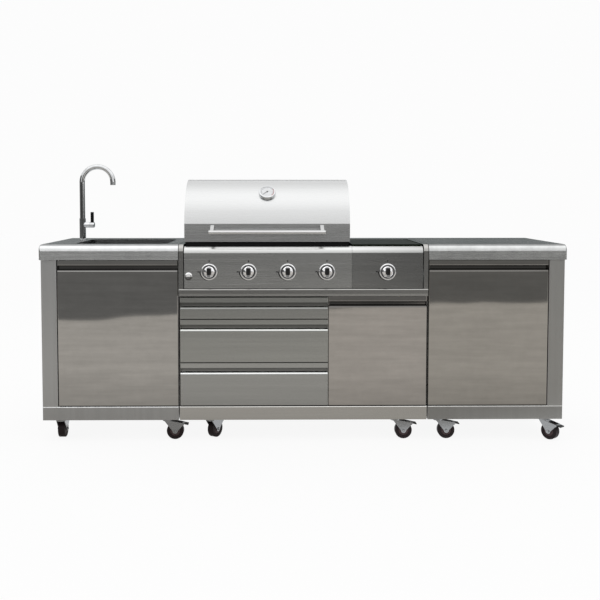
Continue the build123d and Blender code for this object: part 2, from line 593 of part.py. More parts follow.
# Centre cabinet
with BuildPart() as centre_cabinet:
    base_rails((-CENTRE_HALF, CENTRE_HALF))
    walls_z = (BASE_TOP + SEAM, MAIN_RAIL_Z - SEAM)
    for side in (-1, 1):
        block(span(side, CENTRE_HALF - SHEET, CENTRE_HALF), (WALL_Y, INNER_BACK_Y), walls_z)
        bush_z = sum(walls_z) / 2
        for bush_y in (WALL_Y + BUSH_INSET, INNER_BACK_Y - BUSH_INSET):
            bush_end = (side * (WALL_INNER - SEAM), bush_y, bush_z)
            rod((side * (CENTRE_HALF - SHEET), bush_y, bush_z), bush_end, BUSH_RADIUS)
        cheek_x = span(side, CHEEK_INNER, CENTRE_HALF)
        cheek_z = (DECK_TOP + SEAM, WORKTOP_HEIGHT)
        nosed_sheet(cheek_x, (FRONT_Y, BACK_Y), cheek_z, NOSE_RADIUS, "below")
    divider_x = (FRONT_SPLIT - SHEET / 2, FRONT_SPLIT + SHEET / 2)
    block(divider_x, (WALL_Y, INNER_BACK_Y), walls_z)
    back_y = (CABINET_BACK_Y - SHEET, CABINET_BACK_Y)
    block((-CENTRE_HALF, CENTRE_HALF), back_y, (CASTER_HEIGHT, MAIN_RAIL_Z - SEAM))
    rail_y = (FRONT_Y - MAIN_RAIL_PROUD, FRONT_Y + MAIN_RAIL_DEPTH)
    nosed_sheet((-CENTRE_HALF, CENTRE_HALF), rail_y, (MAIN_RAIL_Z, DECK_TOP), RAIL_EDGE, "back")
    sheet_box((-CENTRE_HALF, CENTRE_HALF), (DECK_Y, CABINET_BACK_Y), (MAIN_RAIL_Z, DECK_TOP), "below")
    gas_x = SIDE_BURNER_X + GAS_DROP_OFFSET
    gas_y = FRONT_Y + MANIFOLD_SETBACK
    gas_hole = GAS_PIPE + GAS_HOLE_PLAY
    rod((gas_x, gas_y, DECK_TOP - SHEET), (gas_x, gas_y, DECK_TOP), gas_hole, Mode.SUBTRACT)
    between_x = (SEAM - CHEEK_INNER, CHEEK_INNER - SEAM)
    upper_back_z = (DECK_TOP + TRAY_SLOT, WORKTOP_HEIGHT - LEDGE_HEIGHT - SEAM)
    block(between_x, back_y, upper_back_z)
    sheet_box(between_x, (LEDGE_Y, BACK_Y), (WORKTOP_HEIGHT - LEDGE_HEIGHT, WORKTOP_HEIGHT), "below")
    hinge_bores(CENTRE_DOOR_X[1] - HINGE_INSET, BASE_TOP, MAIN_RAIL_Z)
    hood_axis = (HOOD_BACK_Y + HINGE_REACH, WORKTOP_HEIGHT + HINGE_LIFT)
    axis_y, axis_z = hood_axis
    for side in (-1, 1):
        near = HOOD_MIDDLE + side * (HINGE_SPREAD + EAR_WIDTH / 2 + EAR_GAP)
        bracket = span(1, near, near + side * BRACKET_WIDTH)
        block(bracket, (axis_y - EAR_RADIUS, axis_y + EAR_RADIUS), (WORKTOP_HEIGHT + SEAM, axis_z))
        rod((bracket[0], axis_y, axis_z), (bracket[1], axis_y, axis_z), EAR_RADIUS)
        pin_end = HOOD_MIDDLE + side * (HINGE_SPREAD - EAR_WIDTH / 2)
        rod((near, axis_y, axis_z), (pin_end, axis_y, axis_z), EAR_PIN)
save(centre_cabinet, "centre_cabinet")


# Doors and drawers
def front_sheet(x, z, strip, channel):
    """The front of a door or drawer in the open part: pan, top rail, channel plate, end caps and liner."""
    face = (FACE_Y, FACE_Y + FRONT_THICK)
    channel_top = z[1] - strip
    lip_top = channel_top - channel
    pocket = lip_top - LIP_POCKET
    inner_x = (x[0] + SHEET, x[1] - SHEET)
    back_y = face[1] + SEAM
    with BuildSketch(Plane.XY.offset(z[0])) as plan:
        with Locations(((x[0] + x[1]) / 2, (face[0] + face[1]) / 2)):
            Rectangle(x[1] - x[0], FRONT_THICK)
        fillet(plan.vertices().group_by(Axis.Y)[0], FRONT_EDGE)
    extrude(plan.sketch, amount=z[1] - z[0])
    block(inner_x, (face[0] + SHEET, back_y), (z[0] + SHEET, pocket - SHEET), Mode.SUBTRACT)
    block(inner_x, (face[0] + SHEET, back_y), (channel_top + SHEET, z[1] - SHEET), Mode.SUBTRACT)
    block(inner_x, (face[0] + CHANNEL_DEPTH + SHEET, back_y), (z[0] + SHEET, z[1] - SHEET), Mode.SUBTRACT)
    with BuildSketch(Plane.YZ.offset(inner_x[0])) as groove:
        with BuildLine():
            front = face[0] - SEAM
            back = face[0] + CHANNEL_DEPTH
            lip_back = face[0] + LIP
            crown = lip_top - LIP
            crown_middle = LIP * (1 - sqrt(0.5))
            edge_top = channel_top + STRIP_EDGE
            edge_back = face[0] + STRIP_EDGE
            edge_middle = STRIP_EDGE * (1 - sqrt(0.5))
            Line((front, edge_top), (face[0], edge_top))
            ThreePointArc((face[0], edge_top), (face[0] + edge_middle, channel_top + edge_middle),
                          (edge_back, channel_top))
            Line((edge_back, channel_top), (back, channel_top))
            Line((back, channel_top), (back, pocket))
            Line((back, pocket), (lip_back, pocket))
            Line((lip_back, pocket), (lip_back, lip_top))
            ThreePointArc((lip_back, lip_top), (face[0] + crown_middle, lip_top - crown_middle),
                          (face[0], crown))
            Line((face[0], crown), (front, crown))
            Line((front, crown), (front, edge_top))
        make_face()
    extrude(groove.sketch, amount=inner_x[1] - inner_x[0], mode=Mode.SUBTRACT)
    seam_y = (face[0] - SEAM, back_y)
    block(x, seam_y, (lip_top, lip_top + SEAM), Mode.SUBTRACT)
    block(x, seam_y, (channel_top - SEAM, channel_top), Mode.SUBTRACT)
    for end_x, inward in zip(inner_x, (1, -1)):
        block(span(1, end_x, end_x + inward * SEAM), seam_y, (lip_top, channel_top), Mode.SUBTRACT)
    liner_x = (inner_x[0] + SEAM, inner_x[1] - SEAM)
    block(liner_x, (face[1] - SHEET, face[1]), (z[0] + SHEET + SEAM, z[1] - SHEET - SEAM))


def door(label, x, z, hinge_x):
    """A hinged door with its two pivot pins."""
    place_y = FACE_Y + HINGE_INSET
    with BuildPart() as part:
        front_sheet(x, z, DOOR_STRIP, DOOR_CHANNEL)
        for end, inward in ((z[0], 1), (z[1], -1)):
            tip = end - inward * HINGE_PIN_STAND
            root = end + inward * HINGE_PIN_BITE
            rod((hinge_x, place_y, tip), (hinge_x, place_y, root), HINGE_PIN)
    save(part, label)


side_door_z = (BASE_TOP + REVEAL, APRON_Z - REVEAL)
door("left_door", span(-1, *SIDE_DOOR), side_door_z, HINGE_INSET - SIDE_DOOR[1])
door("right_door", span(1, *SIDE_DOOR), side_door_z, SIDE_DOOR[1] - HINGE_INSET)
centre_door_z = (BASE_TOP + REVEAL, MAIN_RAIL_Z - REVEAL)
door("centre_door", CENTRE_DOOR_X, centre_door_z, CENTRE_DOOR_X[1] - HINGE_INSET)

drawer_levels = [
    ("lower_drawer", (DRAWER_BOTTOM, DRAWER_BOTTOM + DRAWER_HEIGHT)),
    ("middle_drawer", (DRAWER_BOTTOM + DRAWER_HEIGHT + REVEAL, DRAWER_BOTTOM + 2 * DRAWER_HEIGHT + REVEAL)),
    ("upper_drawer", (DRAWER_BOTTOM + 2 * (DRAWER_HEIGHT + REVEAL), DRAWER_TOP)),
]
drawer_walls = ((SHEET - CENTRE_HALF + SEAM, 1), (FRONT_SPLIT - SHEET / 2 - SEAM, -1))
runner_start = FACE_Y + FRONT_THICK + REVEAL
tray_back = INNER_BACK_Y - DRAWER_BACK
runner_end = tray_back - RUNNER_BACK
bar_outer = SHEET + SLIDE_PLAY
bar_inner = RUNNER_WIDTH + BAR_PROUD
tray_x = tuple(wall + inward * (bar_inner + SEAM) for wall, inward in drawer_walls)
for name, front_z in drawer_levels:
    tray_z = (front_z[0] + TRAY_ABOVE, front_z[1] - TRAY_BELOW)
    bar_half = RUNNER_HEIGHT / 2 - SHEET - SLIDE_PLAY
    bar_z = sum(tray_z) / 2
    with BuildPart() as drawer:
        front_sheet(DRAWER_X, front_z, DRAWER_STRIP, DRAWER_CHANNEL)
        tray_front = FACE_Y + FRONT_THICK + SEAM
        sheet_box(tray_x, (tray_front, tray_back), tray_z, "above")
        for wall, inward in drawer_walls:
            bar_x = span(1, wall + inward * bar_outer, wall + inward * bar_inner)
            bar_y = (runner_start, runner_end)
            block(bar_x, bar_y, (bar_z - bar_half, bar_z + bar_half))
    save(drawer, name)

with BuildPart() as drawer_runners:
    for name, front_z in drawer_levels:
        middle_z = (front_z[0] + TRAY_ABOVE + front_z[1] - TRAY_BELOW) / 2
        runner_z = (middle_z - RUNNER_HEIGHT / 2, middle_z + RUNNER_HEIGHT / 2)
        runner_y = (runner_start, runner_end)
        for wall, inward in drawer_walls:
            block(span(1, wall, wall + inward * RUNNER_WIDTH), runner_y, runner_z)
            groove_x = span(1, wall + inward * SHEET, wall + inward * (RUNNER_WIDTH + SEAM))
            groove_y = (runner_y[0] - SEAM, runner_y[1] + SEAM)
            groove_z = (runner_z[0] + SHEET, runner_z[1] - SHEET)
            block(groove_x, groove_y, groove_z, Mode.SUBTRACT)
save(drawer_runners, "drawer_runners")


# Control panels, bezels, knobs and button
burner_places = KNOB_X + [SIDE_BURNER_X]
button_place = (GRILL_PANEL[0] + BUTTON_INSET, WORKTOP_HEIGHT - BUTTON_DROP)
with BuildPart() as control_panels:
    for panel_x in (GRILL_PANEL, SIDE_PANEL):
        panel_y = (FRONT_Y, FRONT_Y + PANEL_DEPTH)
        nosed_sheet(panel_x, panel_y, (DECK_TOP + SEAM, PANEL_TOP), NOSE_RADIUS, "back")
    for x in burner_places:
        rod((x, FRONT_Y, KNOB_Z), (x, FRONT_Y + SHEET, KNOB_Z), STEM_HOLE, Mode.SUBTRACT)
    button_hole = BARREL_RADIUS + SEAM
    rod((button_place[0], FRONT_Y, button_place[1]), (button_place[0], FRONT_Y + SHEET, button_place[1]),
        button_hole, Mode.SUBTRACT)
save(control_panels, "control_panels")


def panel_plane(x, z):
    """The plane of the panels' face at a point, with its normal towards the user."""
    return Plane(origin=(x, FRONT_Y, z), x_dir=(1, 0, 0), z_dir=(0, -1, 0))


def bezel(x, z, radius, bore, height, edge):
    """A rounded ring on the panels' face, in the open part."""
    with BuildSketch(panel_plane(x, z).offset(SEAM)) as ring:
        Circle(radius)
        Circle(bore, mode=Mode.SUBTRACT)
    made = extrude(ring.sketch, amount=height)
    fillet(made.edges().filter_by(GeomType.CIRCLE).group_by(Axis.Y)[0].sort_by(SortBy.LENGTH)[-1], edge)


with BuildPart() as panel_bezels:
    for x in burner_places:
        bezel(x, KNOB_Z, BEZEL_RADIUS, BEZEL_BORE, BEZEL_HEIGHT, BEZEL_EDGE)
    button_bore = BUTTON_RADIUS + BUTTON_PLAY
    bezel(*button_place, COLLAR_RADIUS, button_bore, COLLAR_HEIGHT, COLLAR_HEIGHT / 2)
    with BuildSketch(panel_plane(*button_place).offset(SEAM)) as barrel:
        Circle(BARREL_RADIUS)
        Circle(button_bore, mode=Mode.SUBTRACT)
    extrude(barrel.sketch, amount=-BARREL_LENGTH)
save(panel_bezels, "panel_bezels")

with BuildPart() as ignition_button:
    with BuildSketch(panel_plane(*button_place).offset(-BUTTON_TAIL)):
        Circle(BUTTON_RADIUS)
    extrude(amount=BUTTON_TAIL + BUTTON_PROUD)
    fillet(ignition_button.edges().sort_by(Axis.Y)[0], BUTTON_EDGE)
save(ignition_button, "ignition_button")

dome_radius = (KNOB_RADIUS**2 + KNOB_DOME**2) / (2 * KNOB_DOME)
knob_names = [f"burner_knob_{index + 1}" for index in range(len(KNOB_X))] + ["side_burner_knob"]
for label, x in zip(knob_names, burner_places):
    face = panel_plane(x, KNOB_Z)
    with BuildPart() as knob:
        with BuildSketch(face.offset(KNOB_STANDOFF)):
            Circle(KNOB_RADIUS)
        extrude(amount=KNOB_SKIRT)
        with Locations(face.offset(KNOB_STANDOFF + KNOB_SKIRT - dome_radius).origin):
            Sphere(dome_radius, mode=Mode.INTERSECT)
        fillet(knob.edges().filter_by(GeomType.CIRCLE).sort_by(Axis.Y)[0], KNOB_EDGE)
        with BuildSketch(face.offset(KNOB_STANDOFF + KNOB_EDGE)):
            RectangleRounded(GRIP_WIDTH, 2 * (KNOB_RADIUS - GRIP_INSET), GRIP_EDGE)
        extrude(amount=KNOB_SKIRT + GRIP_HEIGHT - KNOB_EDGE)
        fillet(knob.edges().group_by(Axis.Y)[0], GRIP_EDGE / 2)
        with BuildSketch(face.offset(-STEM_DEPTH)):
            Circle(STEM_RADIUS)
        extrude(amount=STEM_DEPTH + KNOB_STANDOFF)
    save(knob, label)

# Gas valves and manifold
with BuildPart() as gas_manifold:
    pipe_y = FRONT_Y + MANIFOLD_SETBACK
    pipe_z = KNOB_Z - MANIFOLD_DROP
    inlet_x = SIDE_BURNER_X + GAS_DROP_OFFSET
    rod((KNOB_X[0], pipe_y, pipe_z), (inlet_x + 2 * TEE_RADIUS, pipe_y, pipe_z), MANIFOLD_RADIUS)
    rod((inlet_x, pipe_y, pipe_z), (inlet_x, pipe_y, pipe_z - TEE_HEIGHT), TEE_RADIUS)
    rod((inlet_x, pipe_y, pipe_z), (inlet_x, pipe_y, DECK_TOP - GAS_DROP), GAS_PIPE)
    valve_y = (FRONT_Y + VALVE_SETBACK, FRONT_Y + VALVE_SETBACK + VALVE_DEPTH)
    for x in burner_places:
        valve_half = VALVE_WIDTH / 2
        block((x - valve_half, x + valve_half), valve_y, (KNOB_Z - VALVE_BOTTOM, KNOB_Z + VALVE_TOP))
        rod((x, FRONT_Y + SHEET + SEAM, KNOB_Z), (x, valve_y[0], KNOB_Z), BOSS_RADIUS)
        rod((x, valve_y[1], KNOB_Z), (x, valve_y[1] + JET_LENGTH, KNOB_Z), JET_RADIUS)
        bore_end = FRONT_Y + STEM_DEPTH + SEAM
        rod((x, FRONT_Y, KNOB_Z), (x, bore_end, KNOB_Z), STEM_RADIUS + PIN_PLAY, Mode.SUBTRACT)
save(gas_manifold, "gas_manifold")


# Burner boxes, burners, tents and grates
def burner_box(x, top, floor, burner_x):
    """An open box on the grill deck in the open part, with a raised floor and burner holes."""
    bottom = DECK_TOP + SEAM
    inner_x = (x[0] + SHEET, x[1] - SHEET)
    inner_y = (BOX_Y[0] + SHEET, BOX_Y[1] - SHEET)
    block(x, BOX_Y, (bottom, top))
    block(inner_x, inner_y, (floor + SHEET, top), Mode.SUBTRACT)
    block(inner_x, (BOX_Y[0], BOX_Y[1]), (bottom, floor), Mode.SUBTRACT)
    for place in burner_x:
        front_hole = BURNER_RADIUS + SEAM
        rod((place, BOX_Y[0], KNOB_Z), (place, inner_y[0], KNOB_Z), front_hole, Mode.SUBTRACT)


def rim(x, y, top, hole_x):
    """A flat rim round a burner box's mouth in the open part."""
    block(x, y, (top - SHEET, top))
    hole_y = (BOX_Y[0] + SHEET, BOX_Y[1] - SHEET)
    block((hole_x[0] + SHEET, hole_x[1] - SHEET), hole_y, (top - SHEET, top), Mode.SUBTRACT)


firebox_floor = DECK_TOP + FIREBOX_FLOOR
grate_z = (GRATE_TOP - GRATE_THICK, GRATE_TOP)
tent_z = KNOB_Z + TENT_LIFT
firebox_inner_y = (BOX_Y[0] + SHEET, BOX_Y[1] - SHEET)
with BuildPart() as burner_boxes:
    burner_box(FIREBOX_X, RIM_TOP, firebox_floor, KNOB_X)
    grease_y = (sum(BOX_Y) - GREASE_SLOT) / 2
    grease_x = (HOOD_MIDDLE - GREASE_SLOT / 2, HOOD_MIDDLE + GREASE_SLOT / 2)
    grease_z = (firebox_floor, firebox_floor + SHEET)
    block(grease_x, (grease_y, grease_y + GREASE_SLOT), grease_z, Mode.SUBTRACT)
    rim_x = (HOOD_X[0] + RIM_INSET, HOOD_X[1] - RIM_INSET)
    rim(rim_x, (HOOD_FRONT_Y + RIM_INSET, HOOD_BACK_Y - RIM_INSET), RIM_TOP, FIREBOX_X)
    fascia_x = (HOOD_X[0] + FASCIA_INSET, HOOD_X[1] - FASCIA_INSET)
    fascia_y = (HOOD_FRONT_Y + FASCIA_INSET, HOOD_FRONT_Y + FASCIA_INSET + SHEET)
    block(fascia_x, fascia_y, (RIM_TOP - FASCIA_HEIGHT, RIM_TOP))
    inner_x = (FIREBOX_X[0] + SHEET, FIREBOX_X[1] - SHEET)
    for rest_top in (tent_z - SEAM, grate_z[0] - SEAM):
        for rest_y in ((firebox_inner_y[0], firebox_inner_y[0] + REST_SIZE),
                       (firebox_inner_y[1] - REST_SIZE, firebox_inner_y[1])):
            block(inner_x, rest_y, (rest_top - REST_SIZE, rest_top))
    burner_box(SIDE_PANEL, BOWL_RIM, BOWL_FLOOR, [SIDE_BURNER_X])
    bowl_rim_y = (FRONT_Y + PANEL_DEPTH + SEAM, BOX_Y[1])
    rim(SIDE_PANEL, bowl_rim_y, BOWL_RIM, SIDE_PANEL)
    lid_x = (SIDE_PANEL[0] + REVEAL, SIDE_PANEL[1] - REVEAL)
    lid_y = (FRONT_Y + LID_START, LEDGE_Y - REVEAL)
    lid_z = (LID_TOP - LID_THICK, LID_TOP)
    lid_axis = (lid_y[1] - LID_AXIS, sum(lid_z) / 2)
    pad_y = bowl_rim_y[0] + 2 * PAD_RADIUS
    for corner, inward in ((lid_x[0], 1), (lid_x[1], -1)):
        lug_x = span(1, corner, corner + inward * LUG_WIDTH)
        lug_y = (lid_axis[0] - LUG_RADIUS, lid_axis[0] + LUG_RADIUS)
        block(lug_x, lug_y, (BOWL_RIM - LUG_WIDTH, lid_axis[1]))
        pin_end = (corner + inward * (LID_NOTCH + LID_PIN_BITE), *lid_axis)
        rod((lug_x[0], *lid_axis), (lug_x[1], *lid_axis), LUG_RADIUS)
        rod((corner + inward * LUG_WIDTH / 2, *lid_axis), pin_end, LID_PIN)
        pad_x = corner + inward * 2 * PAD_RADIUS
        rod((pad_x, pad_y, BOWL_RIM - SHEET), (pad_x, pad_y, lid_z[0] - PAD_GAP), PAD_RADIUS)
    stem_hole = HEAD_STEM + SEAM
    bowl_y = sum(BOX_Y) / 2
    rod((SIDE_BURNER_X, bowl_y, BOWL_FLOOR), (SIDE_BURNER_X, bowl_y, BOWL_FLOOR + SHEET),
        stem_hole, Mode.SUBTRACT)
save(burner_boxes, "burner_boxes")

with BuildPart() as gas_burners:
    tube_start = FRONT_Y + BURNER_START
    for x in KNOB_X:
        tube_end = BOX_Y[1] - BURNER_END
        rod((x, tube_start, KNOB_Z), (x, tube_end, KNOB_Z), BURNER_RADIUS)
        bore_end = tube_end - BURNER_WALL
        rod((x, tube_start, KNOB_Z), (x, bore_end, KNOB_Z), BURNER_RADIUS - BURNER_WALL, Mode.SUBTRACT)
    head_z = BOWL_FLOOR + SHEET + SEAM
    head = (SIDE_BURNER_X, bowl_y)
    rod((*head, head_z), (*head, head_z + HEAD_HEIGHT), HEAD_RADIUS)
    rod((*head, KNOB_Z - HEAD_STEM), (*head, head_z), HEAD_STEM)
    rod((SIDE_BURNER_X, tube_start, KNOB_Z), (SIDE_BURNER_X, bowl_y, KNOB_Z), HEAD_FEED)
    rod((SIDE_BURNER_X, tube_start, KNOB_Z), (SIDE_BURNER_X, bowl_y, KNOB_Z),
        HEAD_FEED - BURNER_WALL, Mode.SUBTRACT)
save(gas_burners, "gas_burners")

with BuildPart() as heat_tents:
    for x in KNOB_X:
        tent_start = firebox_inner_y[0] + REVEAL
        tent_length = firebox_inner_y[1] - firebox_inner_y[0] - 2 * REVEAL
        half = TENT_WIDTH / 2
        thick = SHEET * sqrt(half**2 + TENT_RISE**2) / half
        with BuildSketch(Plane.XZ.offset(-tent_start)) as tent:
            with BuildLine():
                Polyline(
                    (x - half, tent_z),
                    (x, tent_z + TENT_RISE),
                    (x + half, tent_z),
                    (x + half, tent_z + thick),
                    (x, tent_z + TENT_RISE + thick),
                    (x - half, tent_z + thick),
                    close=True,
                )
            make_face()
        extrude(tent.sketch, amount=-tent_length)
save(heat_tents, "heat_tents")

with BuildPart() as cooking_grates:
    inner_width = FIREBOX_X[1] - FIREBOX_X[0] - 2 * SHEET
    grate_width = inner_width / GRATE_COUNT - GRATE_GAP
    grate_length = firebox_inner_y[1] - firebox_inner_y[0] - 2 * GRATE_GAP
    slot_pitch = (grate_width - 2 * GRATE_FRAME) / GRATE_BARS
    with BuildSketch(Plane.XY.offset(grate_z[0])):
        with Locations((HOOD_MIDDLE, sum(BOX_Y) / 2)):
            with GridLocations(inner_width / GRATE_COUNT, 0, GRATE_COUNT, 1):
                RectangleRounded(grate_width, grate_length, GRATE_FRAME / 2)
                with GridLocations(slot_pitch, 0, GRATE_BARS, 1):
                    SlotOverall(grate_length - 2 * GRATE_FRAME, GRATE_SLOT, rotation=90, mode=Mode.SUBTRACT)
    extrude(amount=GRATE_THICK)
    support_z = BOWL_FLOOR + SHEET + PAN_LIFT
    support_size = SIDE_PANEL[1] - SIDE_PANEL[0] - 2 * PAN_INSET
    inner_size = support_size - 2 * PAN_FRAME
    with BuildSketch(Plane.XY.offset(support_z)):
        with Locations(head):
            RectangleRounded(support_size, support_size, PAN_FRAME)
            RectangleRounded(inner_size, inner_size, PAN_FRAME / 2, mode=Mode.SUBTRACT)
            with PolarLocations((support_size - PAN_FINGER) / 2, 4):
                Rectangle(PAN_FINGER, PAN_FRAME)
    extrude(amount=PAN_THICK)
    with BuildSketch(Plane.XY.offset(BOWL_FLOOR + SHEET + SEAM)):
        with Locations(head):
            with GridLocations(support_size - PAN_FRAME, support_size - PAN_FRAME, 2, 2):
                Circle(PAN_FRAME / 2)
    extrude(amount=PAN_LIFT)
save(cooking_grates, "cooking_grates")

with BuildPart() as drip_tray:
    tray_x = (HOOD_X[0] + DRIP_INSET, HOOD_X[1] - DRIP_INSET)
    tray_y = (FRONT_Y + DRIP_START, CABINET_BACK_Y + SHEET)
    tray_z = (DECK_TOP + DRIP_LIFT, DECK_TOP + DRIP_LIFT + DRIP_HEIGHT)
    sheet_box(tray_x, tray_y, tray_z, "above")
    block(tray_x, (tray_y[1], tray_y[1] + DRIP_PULL), (tray_z[1] - SHEET, tray_z[1]))
save(drip_tray, "drip_tray")

# Hood, handle and gauge
hood_radius = (HOOD_CROWN**2 + HOOD_RISE**2) / (2 * HOOD_RISE)
arc_middle = (HOOD_FRONT_Y + HOOD_CROWN, HOOD_TOP - hood_radius)
lean = radians(GAUGE_ANGLE)
gauge_normal = (0, -cos(lean), sin(lean))
gauge_face = Plane(
    origin=(HOOD_MIDDLE, arc_middle[0] - hood_radius * cos(lean), arc_middle[1] + hood_radius * sin(lean)),
    x_dir=(1, 0, 0),
    z_dir=gauge_normal,
)
with BuildPart() as hood:
    crown = (HOOD_FRONT_Y + HOOD_CROWN, HOOD_TOP)
    crease = (HOOD_FRONT_Y, HOOD_CREASE)
    rear = (HOOD_BACK_Y, HOOD_TOP - HOOD_REAR_DROP)
    with BuildSketch(Plane.YZ.offset(HOOD_X[0])):
        with BuildLine():
            TangentArc(crown, crease, tangent=(-1, 0))
            Line(crease, (HOOD_FRONT_Y, HOOD_RIM))
            Line((HOOD_FRONT_Y, HOOD_RIM), (HOOD_BACK_Y, HOOD_RIM))
            Line((HOOD_BACK_Y, HOOD_RIM), rear)
            TangentArc(crown, rear, tangent=(1, 0))
        make_face()
    extrude(amount=HOOD_WIDTH)
    offset(amount=-SHEET, openings=hood.faces().sort_by(Axis.Z)[0], kind=Kind.INTERSECTION)
    with BuildSketch(gauge_face.offset(-GAUGE_TAIL - SHEET)):
        Circle(GAUGE_BODY + SEAM)
    extrude(amount=GAUGE_TAIL + GAUGE_HEIGHT, mode=Mode.SUBTRACT)
    for side in (-1, 1):
        middle = HOOD_MIDDLE + side * HINGE_SPREAD
        ear_x = (middle - EAR_WIDTH / 2, middle + EAR_WIDTH / 2)
        axis_y, axis_z = hood_axis
        block(ear_x, (HOOD_BACK_Y - SHEET, axis_y), (axis_z - EAR_RADIUS, axis_z + EAR_RADIUS))
        rod((ear_x[0], axis_y, axis_z), (ear_x[1], axis_y, axis_z), EAR_RADIUS)
        rod((ear_x[0], axis_y, axis_z), (ear_x[1], axis_y, axis_z), EAR_PIN + PIN_PLAY, Mode.SUBTRACT)
save(hood, "hood")

with BuildPart() as hood_handle:
    bar_y = HOOD_FRONT_Y - HANDLE_STANDOFF
    bar_z = HOOD_RIM + HANDLE_LIFT
    half = HOOD_WIDTH / 2 - HANDLE_INSET
    rod((HOOD_MIDDLE - half, bar_y, bar_z), (HOOD_MIDDLE + half, bar_y, bar_z), HANDLE_RADIUS)
    fillet(hood_handle.edges().filter_by(GeomType.CIRCLE), HANDLE_RADIUS / 3)
    for side in (-1, 1):
        post_x = HOOD_MIDDLE + side * (half - POST_INSET) - HANDLE_POST
        with BuildSketch(Plane.YZ.offset(post_x)) as bracket:
            with BuildLine():
                Polyline(
                    (bar_y, bar_z - HANDLE_POST),
                    (HOOD_FRONT_Y - SEAM, bar_z - HANDLE_POST),
                    (HOOD_FRONT_Y - SEAM, bar_z + HANDLE_FOOT),
                    (HOOD_FRONT_Y - HANDLE_POST, bar_z + HANDLE_FOOT),
                    (bar_y, bar_z + HANDLE_POST),
                    close=True,
                )
            make_face()
        extrude(bracket.sketch, amount=2 * HANDLE_POST)
save(hood_handle, "hood_handle")

with BuildPart() as temperature_gauge:
    with BuildSketch(gauge_face.offset(-GAUGE_TAIL)):
        Circle(GAUGE_BODY)
    extrude(amount=GAUGE_TAIL + SEAM)
    with BuildSketch(gauge_face.offset(SEAM)):
        Circle(GAUGE_RADIUS)
    extrude(amount=GAUGE_HEIGHT)
    outer_edges = temperature_gauge.edges().filter_by(GeomType.CIRCLE)
    fillet(outer_edges.sort_by(Axis((0, 0, 0), gauge_normal))[-1], BEZEL_EDGE)
    with BuildSketch(gauge_face.offset(SEAM + GAUGE_HEIGHT)):
        Circle(GAUGE_WINDOW)
    extrude(amount=-GAUGE_RECESS, mode=Mode.SUBTRACT)
    with BuildSketch(gauge_face.offset(-GAUGE_TAIL)):
        Circle(PROBE_RADIUS)
    extrude(amount=-PROBE_LENGTH)
save(temperature_gauge, "temperature_gauge")

# Side burner lid
with BuildPart() as side_burner_lid:
    block(lid_x, lid_y, lid_z)
    fillet(side_burner_lid.edges().filter_by(Axis.Z), FRONT_EDGE)
    for corner, inward in ((lid_x[0], 1), (lid_x[1], -1)):
        notch_x = span(1, corner, corner + inward * LID_NOTCH)
        block(notch_x, (lid_axis[0] - LID_NOTCH, lid_y[1]), lid_z, Mode.SUBTRACT)
        bore_start = (corner + inward * LID_NOTCH, *lid_axis)
        bore_end = (corner + inward * (LID_NOTCH + LID_PIN_BITE + SEAM), *lid_axis)
        rod(bore_start, bore_end, LID_PIN + PIN_PLAY, Mode.SUBTRACT)
save(side_burner_lid, "side_burner_lid")


# Casters
def turned(place, turn):
    """The floor plane of a caster: X is the way it trails."""
    angle = radians(turn)
    return Plane(origin=(*place, 0), x_dir=(cos(angle), sin(angle), 0), z_dir=(0, 0, 1))


def side_plane(base, across):
    """A caster's side view plane: X is the way it trails, Y is up, at a distance across."""
    origin = base.from_local_coords((0, across, 0))
    return Plane(origin=origin, x_dir=base.x_dir, z_dir=base.y_dir * -1)


def cross_rod(base, out, up, half, radius, mode=Mode.ADD):
    """A rod across a caster in the open part, centred on its trailing line."""
    start = base.from_local_coords((out, -half, up))
    end = base.from_local_coords((out, half, up))
    rod(start, end, radius, mode)


plate_top = CASTER_HEIGHT - SEAM
race_top = plate_top - PLATE_THICK
crown_top = race_top - RACE_THICK - SWIVEL_GAP
crown_bottom = crown_top - CROWN_THICK
leg_inner = WHEEL_WIDTH / 2 + LEG_GAP
leg_outer = leg_inner + LEG_THICK
pedal_out = TRAIL + PEDAL_PIVOT_OUT
pedal_up = WHEEL_RADIUS + PEDAL_PIVOT_UP
front_caster_y = FACE_Y + CASTER_SETBACK
rear_caster_y = CABINET_BACK_Y - REAR_CASTER_INSET
caster_x = [
    OUTER_CASTER_INSET - WALL_OUTER,
    -WALL_INNER - INNER_CASTER_INSET,
    CENTRE_CASTER_INSET - CENTRE_HALF,
    CENTRE_HALF - CENTRE_CASTER_INSET,
    WALL_INNER + INNER_CASTER_INSET,
    WALL_OUTER - OUTER_CASTER_INSET,
]
front_bases = [turned((x, front_caster_y), turn) for x, turn in zip(caster_x, CASTER_TURNS)]
rear_bases = [turned((x, rear_caster_y), 90.0) for x in caster_x]


def mounting_plate(base):
    """A caster's bolted plate in the open part."""
    middle = base.from_local_coords((0, 0, 0))
    plate_x = (middle.X - PLATE_WIDTH / 2, middle.X + PLATE_WIDTH / 2)
    plate_y = (middle.Y - PLATE_DEPTH / 2, middle.Y + PLATE_DEPTH / 2)
    block(plate_x, plate_y, (race_top, plate_top))


def wheel(label, base, trail):
    """A wheel with a recessed hub and an axle bore."""
    half = WHEEL_WIDTH / 2
    with BuildPart() as part:
        cross_rod(base, trail, WHEEL_RADIUS, half, WHEEL_RADIUS)
        fillet(part.edges().filter_by(GeomType.CIRCLE), WHEEL_EDGE)
        for across in (-1, 1):
            outer = base.from_local_coords((trail, across * half, WHEEL_RADIUS))
            inner = base.from_local_coords((trail, across * (half - HUB_RECESS), WHEEL_RADIUS))
            rod(inner, outer, HUB_RADIUS, Mode.SUBTRACT)
            rod(inner, outer, 2 * AXLE_RADIUS)
        cross_rod(base, trail, WHEEL_RADIUS, half, AXLE_RADIUS + PIN_PLAY, Mode.SUBTRACT)
    save(part, label)


